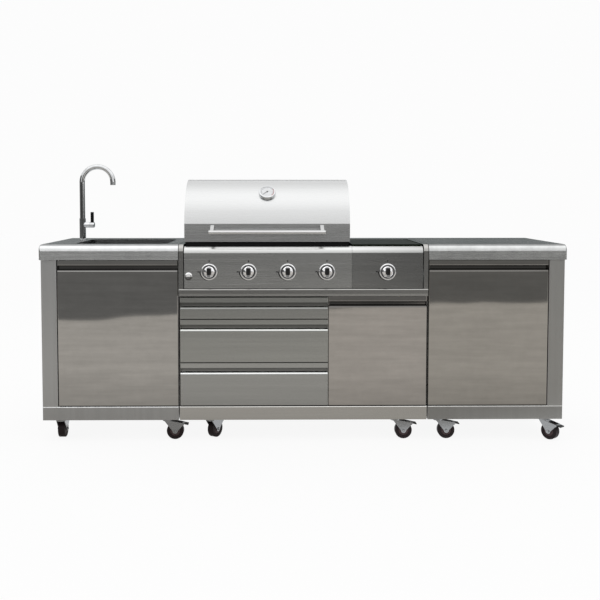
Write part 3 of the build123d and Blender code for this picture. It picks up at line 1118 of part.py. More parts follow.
with BuildPart() as caster_mounts:
    for base in front_bases:
        mounting_plate(base)
        middle = base.origin
        rod((middle.X, middle.Y, race_top), (middle.X, middle.Y, race_top - RACE_THICK), RACE_RADIUS)
        pin_end = crown_bottom - SWIVEL_GAP
        rod((middle.X, middle.Y, race_top), (middle.X, middle.Y, pin_end), KING_PIN)
        head_end = (middle.X, middle.Y, pin_end - KING_HEAD_THICK)
        rod((middle.X, middle.Y, pin_end), head_end, KING_HEAD)
    for base in rear_bases:
        mounting_plate(base)
        for across in (-1, 1):
            leg_y = leg_outer if across > 0 else -leg_inner
            with BuildSketch(side_plane(base, leg_y)) as leg:
                with Locations((0, WHEEL_RADIUS)):
                    Circle(LEG_EYE)
                with Locations((0, (WHEEL_RADIUS + race_top) / 2)):
                    Rectangle(2 * LEG_EYE, race_top - WHEEL_RADIUS)
            extrude(leg.sketch, amount=LEG_THICK)
        cross_rod(base, 0, WHEEL_RADIUS, leg_outer, AXLE_RADIUS)
save(caster_mounts, "caster_mounts")

for number, base in enumerate(front_bases, 1):
    with BuildPart() as fork:
        middle = base.origin
        crown_centre = (middle.X, middle.Y, crown_top)
        rod((middle.X, middle.Y, crown_bottom), crown_centre, CROWN_RADIUS)
        for across in (-1, 1):
            leg_y = leg_outer if across > 0 else -leg_inner
            with BuildSketch(side_plane(base, leg_y)) as leg:
                with BuildLine():
                    Polyline(
                        (-LEG_EYE, crown_top),
                        (pedal_out, pedal_up + PEDAL_HUB),
                        (pedal_out, pedal_up - PEDAL_HUB),
                        (TRAIL + LEG_EYE, WHEEL_RADIUS),
                        (TRAIL - LEG_EYE, WHEEL_RADIUS),
                        (-LEG_EYE, crown_bottom),
                        close=True,
                    )
                make_face()
                with Locations((TRAIL, WHEEL_RADIUS)):
                    Circle(LEG_EYE)
                with Locations((pedal_out, pedal_up)):
                    Circle(PEDAL_HUB)
            extrude(leg.sketch, amount=LEG_THICK)
        cross_rod(base, TRAIL, WHEEL_RADIUS, leg_outer, AXLE_RADIUS)
        cross_rod(base, pedal_out, pedal_up, leg_outer, PEDAL_PIN)
        bore_start = (middle.X, middle.Y, crown_bottom)
        rod(bore_start, crown_centre, KING_PIN + PIN_PLAY, Mode.SUBTRACT)
    save(fork, f"caster_fork_{number}")

    wheel(f"caster_wheel_{number}", base, TRAIL)

    with BuildPart() as pedal:
        pad_half = leg_inner - PEDAL_SIDE_GAP
        pad_length = PEDAL_REACH - pedal_out
        drop = pad_length * sin(radians(PEDAL_SLOPE))
        with BuildSketch(side_plane(base, pad_half)) as outline:
            with Locations((pedal_out, pedal_up)):
                Circle(PEDAL_HUB)
            with BuildLine():
                Polyline(
                    (pedal_out, pedal_up + PEDAL_HUB),
                    (PEDAL_REACH, pedal_up + PEDAL_HUB - drop),
                    (PEDAL_REACH, pedal_up + PEDAL_HUB - drop - PEDAL_THICK),
                    (pedal_out, pedal_up + PEDAL_HUB - PEDAL_THICK),
                    close=True,
                )
            make_face()
        extrude(outline.sketch, amount=2 * pad_half)
        cross_rod(base, pedal_out, pedal_up, pad_half, PEDAL_PIN + PIN_PLAY, Mode.SUBTRACT)
    save(pedal, f"brake_pedal_{number}")

for number, base in enumerate(rear_bases, 1):
    wheel(f"rear_wheel_{number}", base, 0)
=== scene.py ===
"""Looks for the barbecue island.

Materials, small fittings, stage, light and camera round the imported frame.
"""

import json
from math import cos, pi, radians, sin

import bmesh
import bpy
from mathutils import Matrix, Vector

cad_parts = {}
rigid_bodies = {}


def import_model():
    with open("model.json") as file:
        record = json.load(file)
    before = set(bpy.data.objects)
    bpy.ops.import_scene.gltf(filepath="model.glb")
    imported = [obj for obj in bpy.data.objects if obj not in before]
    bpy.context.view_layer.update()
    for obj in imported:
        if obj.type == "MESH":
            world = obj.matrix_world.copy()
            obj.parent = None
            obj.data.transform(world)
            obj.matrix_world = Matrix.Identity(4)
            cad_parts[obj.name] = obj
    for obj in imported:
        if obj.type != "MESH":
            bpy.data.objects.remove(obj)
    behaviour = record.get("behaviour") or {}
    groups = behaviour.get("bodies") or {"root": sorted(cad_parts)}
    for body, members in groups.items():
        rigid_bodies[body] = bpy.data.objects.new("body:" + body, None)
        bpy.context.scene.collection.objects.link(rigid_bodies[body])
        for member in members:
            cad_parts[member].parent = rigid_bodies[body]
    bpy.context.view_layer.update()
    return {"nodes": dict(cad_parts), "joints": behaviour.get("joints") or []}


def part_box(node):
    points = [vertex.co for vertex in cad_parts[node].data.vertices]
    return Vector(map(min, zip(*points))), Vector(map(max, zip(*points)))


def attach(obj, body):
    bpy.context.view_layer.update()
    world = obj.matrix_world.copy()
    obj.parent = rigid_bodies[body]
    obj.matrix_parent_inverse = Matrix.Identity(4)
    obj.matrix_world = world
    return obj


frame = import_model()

# Everything is in metres, in the frame of the CAD: X to the right, -Y to the front, Z up.
MM = 0.001
nodes = frame["nodes"]
joints = {joint["child"]: joint for joint in frame["joints"]}

# Photograph: the camera was fitted to the island's straight edges
IMAGE_SIZE = 600
FOCAL_PIXELS = 827.08
PRINCIPAL_PIXEL = (281.374, 240.857)
CAMERA_PLACE = (-0.1434, -4.0287, 1.1195)
CAMERA_YAW = 0.0112
CAMERA_PITCH = 0.0528
SENSOR = 36.0

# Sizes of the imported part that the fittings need
HOOD_CROWN = 0.230
HOOD_RISE = 0.205
GAUGE_TILT = radians(45.0)
GAUGE_FACE = 12.2 * MM  # from the hood's skin to the floor of the dial
GAUGE_WINDOW = 33.0 * MM
BEZEL_RADIUS = 38.0 * MM
BEZEL_BORE = 30.0 * MM
KNOB_STEM = 6.5 * MM
WHEEL_HALF = 16.0 * MM
HUB_RECESS = 3.0 * MM
HUB_RADIUS = 24.0 * MM
HUB_BOSS = 8.0 * MM
LEG_OUTER = 19.7 * MM
PLATE_BOTTOM = 94.8 * MM
PLATE_BOLTS = (28.0 * MM, 21.0 * MM)
DRAIN_INNER = 42.8 * MM
SPOUT_RADIUS = 13.0 * MM
SPOUT_WALL = 2.0 * MM
MOUTH_RISE = 0.167  # from the spout's joint to its mouth
LEVER_GRIP = 26.0 * MM  # from the lever's foot to its grip
FRONT_PLANE = -276.0 * MM  # of the doors and drawers
PANEL_PLANE = -288.0 * MM  # of the control panels
PANEL_SPLIT = 219.6 * MM  # between the main panel and the side burner's
CHANNEL_BACK = 20.0 * MM
DOOR_CHANNEL = (22.0 * MM, 39.0 * MM)  # from a door's top to its channel's top and to its lip
DRAWER_CHANNEL = (26.0 * MM, 42.0 * MM)
LIP = 12.0 * MM
LIP_CREST = 7.5 * MM
RAIL_TOP = 161.0 * MM  # of the base rails
RAIL_EDGE = 5.0 * MM
GRIP_REFLECTION_HALF = 11.0 * MM  # painted reflection: dark patch round a knob's grip, from the knob's axis
GRIP_REFLECTION_ABOVE = 18.0 * MM
GRIP_REFLECTION_BELOW = 12.0 * MM
GRIP_REFLECTION_DEPTHS = (36.0 * MM, 9.0 * MM)  # in front of the panels
HINGE_PIN_STAND = 9.0 * MM

# Places at which a look changes its tone, mostly with painted shade, painted highlights and painted
# reflections
OPEN_END = 0.1  # how far a zone with an open end reaches
AHEAD = 20.0 * MM  # how far the rails' zones reach out in front
PANEL_FACE = ("Z", 0.60, 0.868)  # round the flat faces of the panels, which get painted shade
PANEL_RIGHT = 0.70  # beyond the side burner's panel
SIDE_FADE = 330.0 * MM  # over which that panel darkens to the right, as painted shade
FADE_HEIGHTS = ("Z", 0.30, 1.10)  # so wide that the fade is level
HOOD_BELOW = 0.8  # painted shade under the hood's rim starts at this height
WORKTOP_FLAT = ("Z", 0.8985, 0.93)  # round the flat tops, which get painted shade
PEDAL_TREAD = ("Z", 0.055, 0.0735)
SPOUT_DARK_REFLECTION = (5.5 * MM, 4.5 * MM)  # painted reflection: dark core of a tube, to the left and right of its axis
BODY_DARK_REFLECTION = (4.0 * MM, 9.0 * MM)
BUTTON_DARK_REFLECTION = 2.0 * MM  # painted reflection: the button darkens from this far below its axis
FOOT_SHADE = 0.3  # painted shade: share of the colour at the lower edges of the fronts
EDGE_GLEAM = 1.8  # painted highlight: the same at the upper edges of the base rails

# Heights of fine bumps, and the name of a shader's socket
POLISHED = 0.000003
HAIRLINES = 0.0000015
SPECULAR = "Specular IOR Level"


# Materials
def graph(name, sockets):
    """A material whose shader sockets are set from a dictionary."""
    material = bpy.data.materials.new(name)
    material.use_nodes = True
    shader = material.node_tree.nodes["Principled BSDF"]
    for socket, value in sockets.items():
        shader.inputs[socket].default_value = value
    return material, material.node_tree, shader


def rgba(colour, gain=1.0):
    """A colour with full cover."""
    return (colour[0] * gain, colour[1] * gain, colour[2] * gain, 1.0)


def noise(tree, stretch, detail=3.0):
    """Noise in frame coordinates, with its own pitch along each axis."""
    coords = tree.nodes.new("ShaderNodeTexCoord")
    mapping = tree.nodes.new("ShaderNodeMapping")
    mapping.inputs["Scale"].default_value = stretch
    texture = tree.nodes.new("ShaderNodeTexNoise")
    texture.inputs["Scale"].default_value = 1.0
    texture.inputs["Detail"].default_value = detail
    tree.links.new(coords.outputs["Object"], mapping.inputs["Vector"])
    tree.links.new(mapping.outputs["Vector"], texture.inputs["Vector"])
    return texture.outputs["Fac"]


def spread(tree, value, low, high):
    """Maps the middle of a noise's range onto low to high."""
    node = tree.nodes.new("ShaderNodeMapRange")
    node.inputs["From Min"].default_value = 0.3
    node.inputs["From Max"].default_value = 0.7
    node.inputs["To Min"].default_value = low
    node.inputs["To Max"].default_value = high
    tree.links.new(value, node.inputs["Value"])
    return node.outputs["Result"]


def tint(tree, value, low, high):
    """Mixes two colours by a value from 0 to 1."""
    node = tree.nodes.new("ShaderNodeMix")
    node.data_type = "RGBA"
    node.inputs["A"].default_value = low
    node.inputs["B"].default_value = high
    tree.links.new(value, node.inputs["Factor"])
    return node.outputs["Result"]


def bump(tree, shader, layers):
    """Chains bump layers, each a height and its depth in metres, into the shader's normal."""
    normal = None
    for height, depth in layers:
        node = tree.nodes.new("ShaderNodeBump")
        node.inputs["Distance"].default_value = depth
        tree.links.new(height, node.inputs["Height"])
        if normal:
            tree.links.new(normal, node.inputs["Normal"])
        normal = node.outputs["Normal"]
    tree.links.new(normal, shader.inputs["Normal"])


# Pitches of the noises, per metre along each axis
GRAIN = {"X": (4.0, 700.0, 700.0), "Y": (700.0, 4.0, 700.0), "Z": (700.0, 700.0, 4.0)}
STREAK = {"X": (1.2, 60.0, 60.0), "Y": (60.0, 1.2, 60.0), "Z": (60.0, 60.0, 1.2)}
BAND_PITCH = (5.0, 5.0, 40.0)
CLOUD_PITCH = (30.0, 16.0, 30.0)
CROSS = {"X": "Y", "Y": "X", "Z": "X"}  # axis of the lines on faces that the grain would pierce
PIERCED = 0.7  # least share of the normal that lies along the grain there


def lined(tree, pitches, grain, detail=3.0):
    """Noise drawn out along the grain, or along its cross axis on faces that look along the grain."""
    coords = tree.nodes.new("ShaderNodeTexCoord")
    split = tree.nodes.new("ShaderNodeSeparateXYZ")
    size = tree.nodes.new("ShaderNodeMath")
    size.operation = "ABSOLUTE"
    pierced = tree.nodes.new("ShaderNodeMath")
    pierced.operation = "GREATER_THAN"
    pierced.inputs[1].default_value = PIERCED
    mix = tree.nodes.new("ShaderNodeMix")
    tree.links.new(coords.outputs["Normal"], split.inputs["Vector"])
    tree.links.new(split.outputs[grain], size.inputs[0])
    tree.links.new(size.outputs["Value"], pierced.inputs[0])
    tree.links.new(pierced.outputs["Value"], mix.inputs["Factor"])
    tree.links.new(noise(tree, pitches[grain], detail), mix.inputs["A"])
    tree.links.new(noise(tree, pitches[CROSS[grain]], detail), mix.inputs["B"])
    return mix.outputs["Result"]


def product(tree, first, second):
    """Multiplies two colours."""
    node = tree.nodes.new("ShaderNodeMix")
    node.data_type = "RGBA"
    node.blend_type = "MULTIPLY"
    node.inputs["Factor"].default_value = 1.0
    tree.links.new(first, node.inputs["A"])
    tree.links.new(second, node.inputs["B"])
    return node.outputs["Result"]


def zone(tree, limits, soft):
    """1 inside a box of frame coordinates, else 0; limits hold an axis, its low end and its high end."""
    coords = tree.nodes.new("ShaderNodeTexCoord")
    split = tree.nodes.new("ShaderNodeSeparateXYZ")
    tree.links.new(coords.outputs["Object"], split.inputs["Vector"])
    inside = None
    for axis, low, high in limits:
        for edge, way in ((low, 1.0), (high, -1.0)):
            ramp = tree.nodes.new("ShaderNodeMapRange")
            ramp.inputs["From Min"].default_value = edge - way * soft / 2
            ramp.inputs["From Max"].default_value = edge + way * soft / 2
            tree.links.new(split.outputs[axis], ramp.inputs["Value"])
            if inside is None:
                inside = ramp.outputs["Result"]
                continue
            both = tree.nodes.new("ShaderNodeMath")
            both.operation = "MULTIPLY"
            tree.links.new(inside, both.inputs[0])
            tree.links.new(ramp.outputs["Result"], both.inputs[1])
            inside = both.outputs["Value"]
    return inside


def shaded(tree, shade, zones):
    """Darkens or brightens a colour in zones; each has its limits, its share and the width of its edge."""
    for limits, share, soft in zones:
        veil = tint(tree, zone(tree, limits, soft), rgba((1.0,) * 3), rgba((share,) * 3))
        shade = product(tree, shade, veil)
    return shade


def brushed_steel(name, colour, rough, grain="X", wave=0.0, wave_pitch=2.2, blotch=0.0, lines=0.000004,
                  streaks=0.04, bands=0.0, zones=()):
    """Brushed sheet.

    It has fine lines and faint streaks along an axis, slight dents, cloudy patches, bands, and zones of
    painted shade and painted highlights.
    """
    material, tree, shader = graph(name, {"Metallic": 1.0, "Anisotropic": 0.25})
    fine = lined(tree, GRAIN, grain, 2.0)
    streak = lined(tree, STREAK, grain)
    shade = tint(tree, spread(tree, streak, 0.0, 1.0), rgba(colour, 1 - streaks), rgba(colour, 1 + streaks))
    if blotch:
        cloud = noise(tree, CLOUD_PITCH, 6.0)
        patch = tint(tree, spread(tree, cloud, 0.0, 1.0), rgba((1 - blotch,) * 3), rgba((1.0,) * 3))
        shade = product(tree, shade, patch)
    if bands:
        drift = noise(tree, BAND_PITCH, 4.0)
        band = tint(tree, spread(tree, drift, 0.0, 1.0), rgba((1 - bands,) * 3), rgba((1 + bands,) * 3))
        shade = product(tree, shade, band)
    shade = shaded(tree, shade, zones)
    tree.links.new(shade, shader.inputs["Base Color"])
    tree.links.new(spread(tree, fine, rough * 0.85, rough * 1.15), shader.inputs["Roughness"])
    layers = [(fine, lines)]
    if wave:
        layers.append((noise(tree, (wave_pitch,) * 3, 1.0), wave))
    bump(tree, shader, layers)
    return material


def plain(name, colour, rough, metallic=0.0, grain=60.0, depth=0.00004, zones=(), **extra):
    """A plain surface with a little unevenness of colour, gloss and height, and zones."""
    sockets = {"Metallic": metallic}
    sockets.update(extra)
    material, tree, shader = graph(name, sockets)
    spots = noise(tree, (grain,) * 3, 4.0)
    shade = tint(tree, spread(tree, spots, 0.0, 1.0), rgba(colour, 0.9), rgba(colour, 1.08))
    shade = shaded(tree, shade, zones)
    tree.links.new(shade, shader.inputs["Base Color"])
    tree.links.new(spread(tree, spots, rough * 0.85, rough * 1.15), shader.inputs["Roughness"])
    bump(tree, shader, [(spots, depth)])
    return material


def front_steel(name, colour, rough, channel, shade, face=1.0, lip_light=1.0, crest=1.0, under=1.0, low=1.0,
                **more):
    """Steel of a door or drawer.

    Its finger channel gets painted shade, and so do its foot and the edge of the rail above the channel.
    Its flat front, the rounded edge below the channel and that edge's upper part get painted shade at a
    share below 1 and a painted highlight above 1; the channel's lower part gets painted light.
    """
    stand = HINGE_PIN_STAND if name.endswith("door") else 0.0
    foot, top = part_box(name)[0].z + stand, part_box(name)[1].z - stand
    lip_top = top - channel[1]
    channel_shade_zone = [
        ("Y", FRONT_PLANE + 3.0 * MM, FRONT_PLANE + CHANNEL_BACK + 0.7 * MM),
        ("Z", lip_top - 0.4 * MM, top - channel[0] + 0.5 * MM),
    ]
    face_shade_zone = [("Y", FRONT_PLANE - OPEN_END, FRONT_PLANE + 0.4 * MM)]
    lip_light_zone = [("Y", FRONT_PLANE + 0.2 * MM, FRONT_PLANE + LIP), ("Z", lip_top - LIP, lip_top + 0.2 * MM)]
    crest_shade_zone = [lip_light_zone[0], ("Z", lip_top - LIP_CREST, lip_top + 0.2 * MM)]
    foot_shade_zone = [("Z", foot - 5.0 * MM, foot + 2.0 * MM)]
    rail_edge_shade_zone = [
        ("Y", FRONT_PLANE - 1.0 * MM, FRONT_PLANE + 5.0 * MM),
        ("Z", top - channel[0] - 0.5 * MM, top - channel[0] + 4.0 * MM),
    ]
    # The channel's lower part is lightened as painted light.
    channel_light_zone = [channel_shade_zone[0], ("Z", lip_top - 4.0 * MM, lip_top + 6.0 * MM)]
    zones = [
        (channel_shade_zone, shade, 0.6 * MM),
        (face_shade_zone, face, 0.5 * MM),
        (lip_light_zone, lip_light, 0.5 * MM),
        (crest_shade_zone, crest, 1.0 * MM),
        (foot_shade_zone, FOOT_SHADE, 0.8 * MM),
        (rail_edge_shade_zone, under, 2.0 * MM),
        (channel_light_zone, low, 5.0 * MM),
    ]
    return brushed_steel(f"{name}_steel", colour, rough, zones=zones, **more)


# Shares and colours of the fronts: the shares are painted light and shade, and the doors' colours differ door
# by door as painted shade
DOOR_LIP_LIGHT = {"left_door": 0.6, "right_door": 0.42, "centre_door": 0.5}
DRAWER_LIP_LIGHT = {"upper_drawer": 0.55, "middle_drawer": 1.2, "lower_drawer": 1.2}
DOOR_SHADES = {
    "left_door": (0.49, 0.48, 0.465),
    "right_door": (0.44, 0.425, 0.40),
    "centre_door": (0.475, 0.455, 0.435),
}
DRAWER_SHADES = {
    "upper_drawer": (0.59, 0.60, 0.58),
    "middle_drawer": (0.58, 0.59, 0.57),
    "lower_drawer": (0.64, 0.65, 0.64),
}
DOOR_FINISH_AND_PAINTED_LIGHT = {
    "crest": 0.3,
    "low": 1.5,
    "lines": HAIRLINES,
    "wave": 0.0036,
    "wave_pitch": 2.6,
    "streaks": 0.02,
    "blotch": 0.05,
    "bands": 0.06,
}
DRAWER_FINISH_AND_PAINTED_LIGHT = {"face": 0.67, "under": 0.35, "low": 2.0, "wave": 0.0005}
front_looks = {}
for name, shade in DOOR_SHADES.items():
    front_looks[name] = front_steel(name, shade, 0.045, DOOR_CHANNEL, 0.28, lip_light=DOOR_LIP_LIGHT[name],
                                    **DOOR_FINISH_AND_PAINTED_LIGHT)
for name, shade in DRAWER_SHADES.items():
    front_looks[name] = front_steel(name, shade, 0.22, DRAWER_CHANNEL, 0.25, lip_light=DRAWER_LIP_LIGHT[name],
                                    **DRAWER_FINISH_AND_PAINTED_LIGHT)


def cabinet_steel(name, colour, rough, grain, wave, base, more=()):
    """Steel of a cabinet: painted light and shade on its base rail, a painted highlight on its top edge, more
    zones.
    """
    low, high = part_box(name)
    across = ("X", low.x + 2.0 * MM, high.x - 2.0 * MM)
    rail_light_zone = [
        across,
        ("Y", FRONT_PLANE - AHEAD, FRONT_PLANE + 1.0 * MM),
        ("Z", 0.0, RAIL_TOP - RAIL_EDGE),
    ]
    rail_gleam_zone = [
        across,
        ("Y", FRONT_PLANE - AHEAD, FRONT_PLANE + RAIL_EDGE),
        ("Z", RAIL_TOP - RAIL_EDGE, RAIL_TOP + 0.5 * MM),
    ]
    zones = [(rail_light_zone, base, 1.0 * MM), (rail_gleam_zone, EDGE_GLEAM, 1.0 * MM), *more]
    return brushed_steel(f"{name}_steel", colour, rough, grain, wave=wave, zones=zones)


# The right cabinet's steel is darker than the left's as painted shade
left_steel = cabinet_steel("left_cabinet", (0.50, 0.505, 0.505), 0.38, "Z", 0.0004, 0.9)
right_steel = cabinet_steel("right_cabinet", (0.385, 0.385, 0.375), 0.38, "Z", 0.0004, 0.85)
rail_left, rail_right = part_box("upper_drawer")[0].x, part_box("centre_door")[1].x
rail_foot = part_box("upper_drawer")[1].z
# Painted highlight on the main rail's lower edge, above the drawers
rail_foot_highlight_zone = [
    ("X", rail_left, rail_right),
    ("Y", FRONT_PLANE - AHEAD, FRONT_PLANE + 2.0 * MM),
    ("Z", rail_foot + 1.0 * MM, rail_foot + 19.0 * MM),
]
rail_steel = cabinet_steel("centre_cabinet", (0.45, 0.445, 0.43), 0.14, "X", 0.0005, 1.29,
                           [(rail_foot_highlight_zone, 1.42, 3.0 * MM)])
panel_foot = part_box("control_panels")[0].z
# Painted shade on the control panels: along their foot, on their flat faces, and more on the side burner's
# panel, darkening to its right
panel_shade_zones = [
    ([("Z", panel_foot - 10.0 * MM, panel_foot + 3.0 * MM)], 0.4, 1.0 * MM),
    ([PANEL_FACE], 0.75, 4.0 * MM),
    ([("X", PANEL_SPLIT, PANEL_RIGHT), PANEL_FACE], 0.68, 1.0 * MM),
    ([("X", PANEL_SPLIT + SIDE_FADE / 2, 1.0), FADE_HEIGHTS], 0.74, SIDE_FADE),
]
panel_steel = brushed_steel("panel_steel", (0.66, 0.665, 0.655), 0.24, "X", wave=0.0004, zones=panel_shade_zones)
hood_low, hood_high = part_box("hood")
hood_crease = hood_high.z - HOOD_RISE
# Painted shade on the hood's front under its rim, and a painted highlight along its crease
hood_light_and_shade = [
    ([("Y", hood_low.y - 5.0 * MM, hood_low.y + 3.0 * MM), ("Z", HOOD_BELOW, hood_crease)], 0.77, 1.0 * MM),
    ([("Z", hood_crease - 10.0 * MM, hood_crease + 45.0 * MM)], 1.08, 30.0 * MM),
]
hood_steel = brushed_steel("hood_steel", (0.64, 0.645, 0.645), 0.27, "X", wave=0.0003, streaks=0.01,
                           lines=HAIRLINES, zones=hood_light_and_shade)
# Painted shade on the worktops' flat tops; the right worktop is also darker than the left as painted shade
left_top = brushed_steel("left_top_steel", (0.78, 0.79, 0.79), 0.24, "X", wave=0.0003, blotch=0.09,
                         zones=[([WORKTOP_FLAT], 0.53, 4.0 * MM)])
right_top = brushed_steel("right_top_steel", (0.66, 0.67, 0.665), 0.24, "X", wave=0.0003, blotch=0.16,
                          zones=[([WORKTOP_FLAT], 0.44, 4.0 * MM)])
sink_steel = brushed_steel("sink_steel", (0.42, 0.43, 0.43), 0.20, "Y", wave=0.0006)
bar_steel = brushed_steel("bar_steel", (0.64, 0.64, 0.64), 0.24, "X")
inner_steel = brushed_steel("inner_steel", (0.50, 0.50, 0.49), 0.42, "Y")
chrome = plain("chrome", (0.88, 0.88, 0.89), 0.05, 1.0, depth=POLISHED)
gauge_chrome = plain("gauge_chrome", (0.70, 0.71, 0.72), 0.07, 1.0, depth=POLISHED)
spout_low, spout_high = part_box("tap_spout")
spout_axis = joints["tap_spout"]["pos_m"][0]
arch_radius = (spout_high.x - spout_low.x) / 2 - SPOUT_RADIUS
riser_top = spout_high.z - arch_radius - SPOUT_RADIUS
riser = ("Z", 0.0, riser_top)
# Painted reflection: a dark core down the front and back of the tap's riser and body, and painted shade on
# the spout's arch
spout_reflection_zone = [("X", spout_axis - SPOUT_DARK_REFLECTION[0], spout_axis + SPOUT_DARK_REFLECTION[1]), riser]
arch_shade_zone = [("Z", riser_top, spout_high.z + OPEN_END)]
body_reflection_zone = [("X", spout_axis - BODY_DARK_REFLECTION[0], spout_axis + BODY_DARK_REFLECTION[1]), riser]
spout_chrome = plain("spout_chrome", (0.86, 0.87, 0.88), 0.07, 1.0, depth=POLISHED,
                     zones=[(spout_reflection_zone, 0.24, 4.0 * MM), (arch_shade_zone, 0.76, 8.0 * MM)])
body_chrome = plain("body_chrome", (0.76, 0.77, 0.78), 0.07, 1.0, depth=POLISHED,
                    zones=[(body_reflection_zone, 0.4, 4.0 * MM)])
grip_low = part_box("tap_lever")[0].z + LEVER_GRIP
lever_zones = [([("Z", grip_low, grip_low + OPEN_END)], 0.05, 0.4 * MM)]
lever_chrome = plain("lever_chrome", (0.70, 0.71, 0.72), 0.12, 1.0, depth=POLISHED, zones=lever_zones)
button_low, button_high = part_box("ignition_button")
button_axis = ((button_low.x + button_high.x) / 2, PANEL_PLANE, (button_low.z + button_high.z) / 2)
# Painted reflection: the button and its ring are darker below their axis
button_reflection_zone = [("Z", button_axis[2] - OPEN_END, button_axis[2] - BUTTON_DARK_REFLECTION)]
button_reflection_zones = [(button_reflection_zone, 0.13, 3.0 * MM)]
satin = plain("satin", (0.92, 0.92, 0.92), 0.5, 1.0, depth=POLISHED, zones=button_reflection_zones)
ring_chrome = plain("ring_chrome", (0.92, 0.92, 0.92), 0.12, 1.0, depth=POLISHED, zones=button_reflection_zones)
knobs = [name for name in nodes if "knob" in name]
knob_looks = {}
for name in knobs:
    axis = joints[name]["pos_m"]
    # Painted reflection: a dark patch round each knob's grip
    grip_reflection = [
        ("X", axis[0] - GRIP_REFLECTION_HALF, axis[0] + GRIP_REFLECTION_HALF),
        ("Y", PANEL_PLANE - GRIP_REFLECTION_DEPTHS[0], PANEL_PLANE - GRIP_REFLECTION_DEPTHS[1]),
        ("Z", axis[2] - GRIP_REFLECTION_BELOW, axis[2] + GRIP_REFLECTION_ABOVE),
    ]
    knob_looks[name] = plain(f"{name}_chrome", (0.88, 0.88, 0.89), 0.06, 1.0, depth=POLISHED,
                             zones=[(grip_reflection, 0.1, 0.4 * MM)])
zinc = plain("zinc", (0.37, 0.38, 0.39), 0.28, 1.0, grain=140.0)
pedal_zinc = plain("pedal_zinc", (0.42, 0.43, 0.44), 0.30, 1.0, grain=140.0,
                   zones=[([PEDAL_TREAD], 0.03, 0.4 * MM)])
brass = plain("brass", (0.70, 0.52, 0.24), 0.32, 1.0)
enamel = plain("enamel", (0.006, 0.006, 0.006), 0.55, **{SPECULAR: 0.1})
iron = plain("iron", (0.022, 0.021, 0.020), 0.62, grain=420.0, depth=0.0003)
lid_enamel = plain("lid_enamel", (0.006, 0.010, 0.005), 0.34, grain=14.0, **{SPECULAR: 0.04})
rubber = plain("rubber", (0.011, 0.005, 0.006), 0.52, grain=200.0, **{SPECULAR: 0.25})
hub_grey = plain("hub_grey", (0.050, 0.028, 0.029), 0.42, **{SPECULAR: 0.3})
white_plastic = plain("white_plastic", (0.78, 0.78, 0.77), 0.42)
dial_white = plain("dial_white", (0.75, 0.76, 0.77), 0.35)
print_black = plain("print_black", (0.010, 0.010, 0.011), 0.6, **{SPECULAR: 0.2})
print_red = plain("print_red", (0.45, 0.03, 0.02), 0.45)

CAD_LOOKS = {
    "left_cabinet": left_steel,
    "right_cabinet": right_steel,
    "centre_cabinet": rail_steel,
    "left_worktop": left_top,
    "right_worktop": right_top,
    "sink_basin": sink_steel,
    "sink_drain": white_plastic,
    "drawer_runners": zinc,
    "control_panels": panel_steel,
    "panel_bezels": chrome,
    "ignition_button": satin,
    "gas_manifold": brass,
    "gas_burners": inner_steel,
    "heat_tents": inner_steel,
    "burner_boxes": enamel,
    "cooking_grates": iron,
    "drip_tray": inner_steel,
    "hood": hood_steel,
    "hood_handle": bar_steel,
    "temperature_gauge": gauge_chrome,
    "side_burner_lid": lid_enamel,
    "tap_body": body_chrome,
    "tap_spout": spout_chrome,
    "tap_lever": lever_chrome,
    "caster_mounts": zinc,
}
FAMILY_LOOKS = {
    "caster_fork": zinc,
    "caster_wheel": rubber,
    "rear_wheel": rubber,
    "brake_pedal": pedal_zinc,
}
for name, node in nodes.items():
    family = name.rstrip("0123456789").rstrip("_")
    look = CAD_LOOKS.get(name) or front_looks.get(name) or knob_looks.get(name) or FAMILY_LOOKS[family]
    node.data.materials.clear()
    node.data.materials.append(look)


# Shapes: each makes a function that adds itself to a bmesh
def lathe(profile, origin, axis, segments=32):
    """A closed profile of (radius, height) pairs, turned round an axis."""
    turn = Vector((0, 0, 1)).rotation_difference(Vector(axis)).to_matrix().to_4x4()
    place = Matrix.Translation(origin) @ turn

    def add(mesh):
        rows = []
        for step in range(segments):
            angle = 2 * pi * step / segments
            rows.append([
                mesh.verts.new(place @ Vector((r * cos(angle), r * sin(angle), h))) for r, h in profile
            ])
        for step in range(segments):
            here, there = rows[step], rows[(step + 1) % segments]
            for index in range(len(profile)):
                after = (index + 1) % len(profile)
                mesh.faces.new((here[index], there[index], there[after], here[after]))

    return add


def disc(radius, height, origin, axis, segments=32, edge=0.0):
    """A short cylinder from its base, with a chamfered top edge."""
    core = radius * 1e-3
    profile = [(core, 0.0), (radius, 0.0), (radius, height - edge), (radius - edge, height), (core, height)]
    return lathe(profile, origin, axis, segments)


def slab(centre, size, turn=None):
    """A box round a centre, turned by a matrix if one is given."""
    place = Matrix.Translation(centre) @ (turn.to_4x4() if turn else Matrix.Identity(4))

    def add(mesh):
        bmesh.ops.create_cube(mesh, matrix=place @ Matrix.Diagonal((*size, 1.0)))

    return add


def piece(name, body, look, shapes):
    """One object made of shapes, which moves with a body."""
    mesh = bmesh.new()
    for add in shapes:
        add(mesh)
    bmesh.ops.remove_doubles(mesh, verts=mesh.verts, dist=1e-6)
    bmesh.ops.recalc_face_normals(mesh, faces=mesh.faces)
    data = bpy.data.meshes.new(name)
    mesh.to_mesh(data)
    mesh.free()
    data.shade_smooth()
    data.set_sharp_from_angle(angle=radians(35.0))
    data.materials.append(look)
    made = bpy.data.objects.new(name, data)
    bpy.context.scene.collection.objects.link(made)
    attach(made, body)
    return made


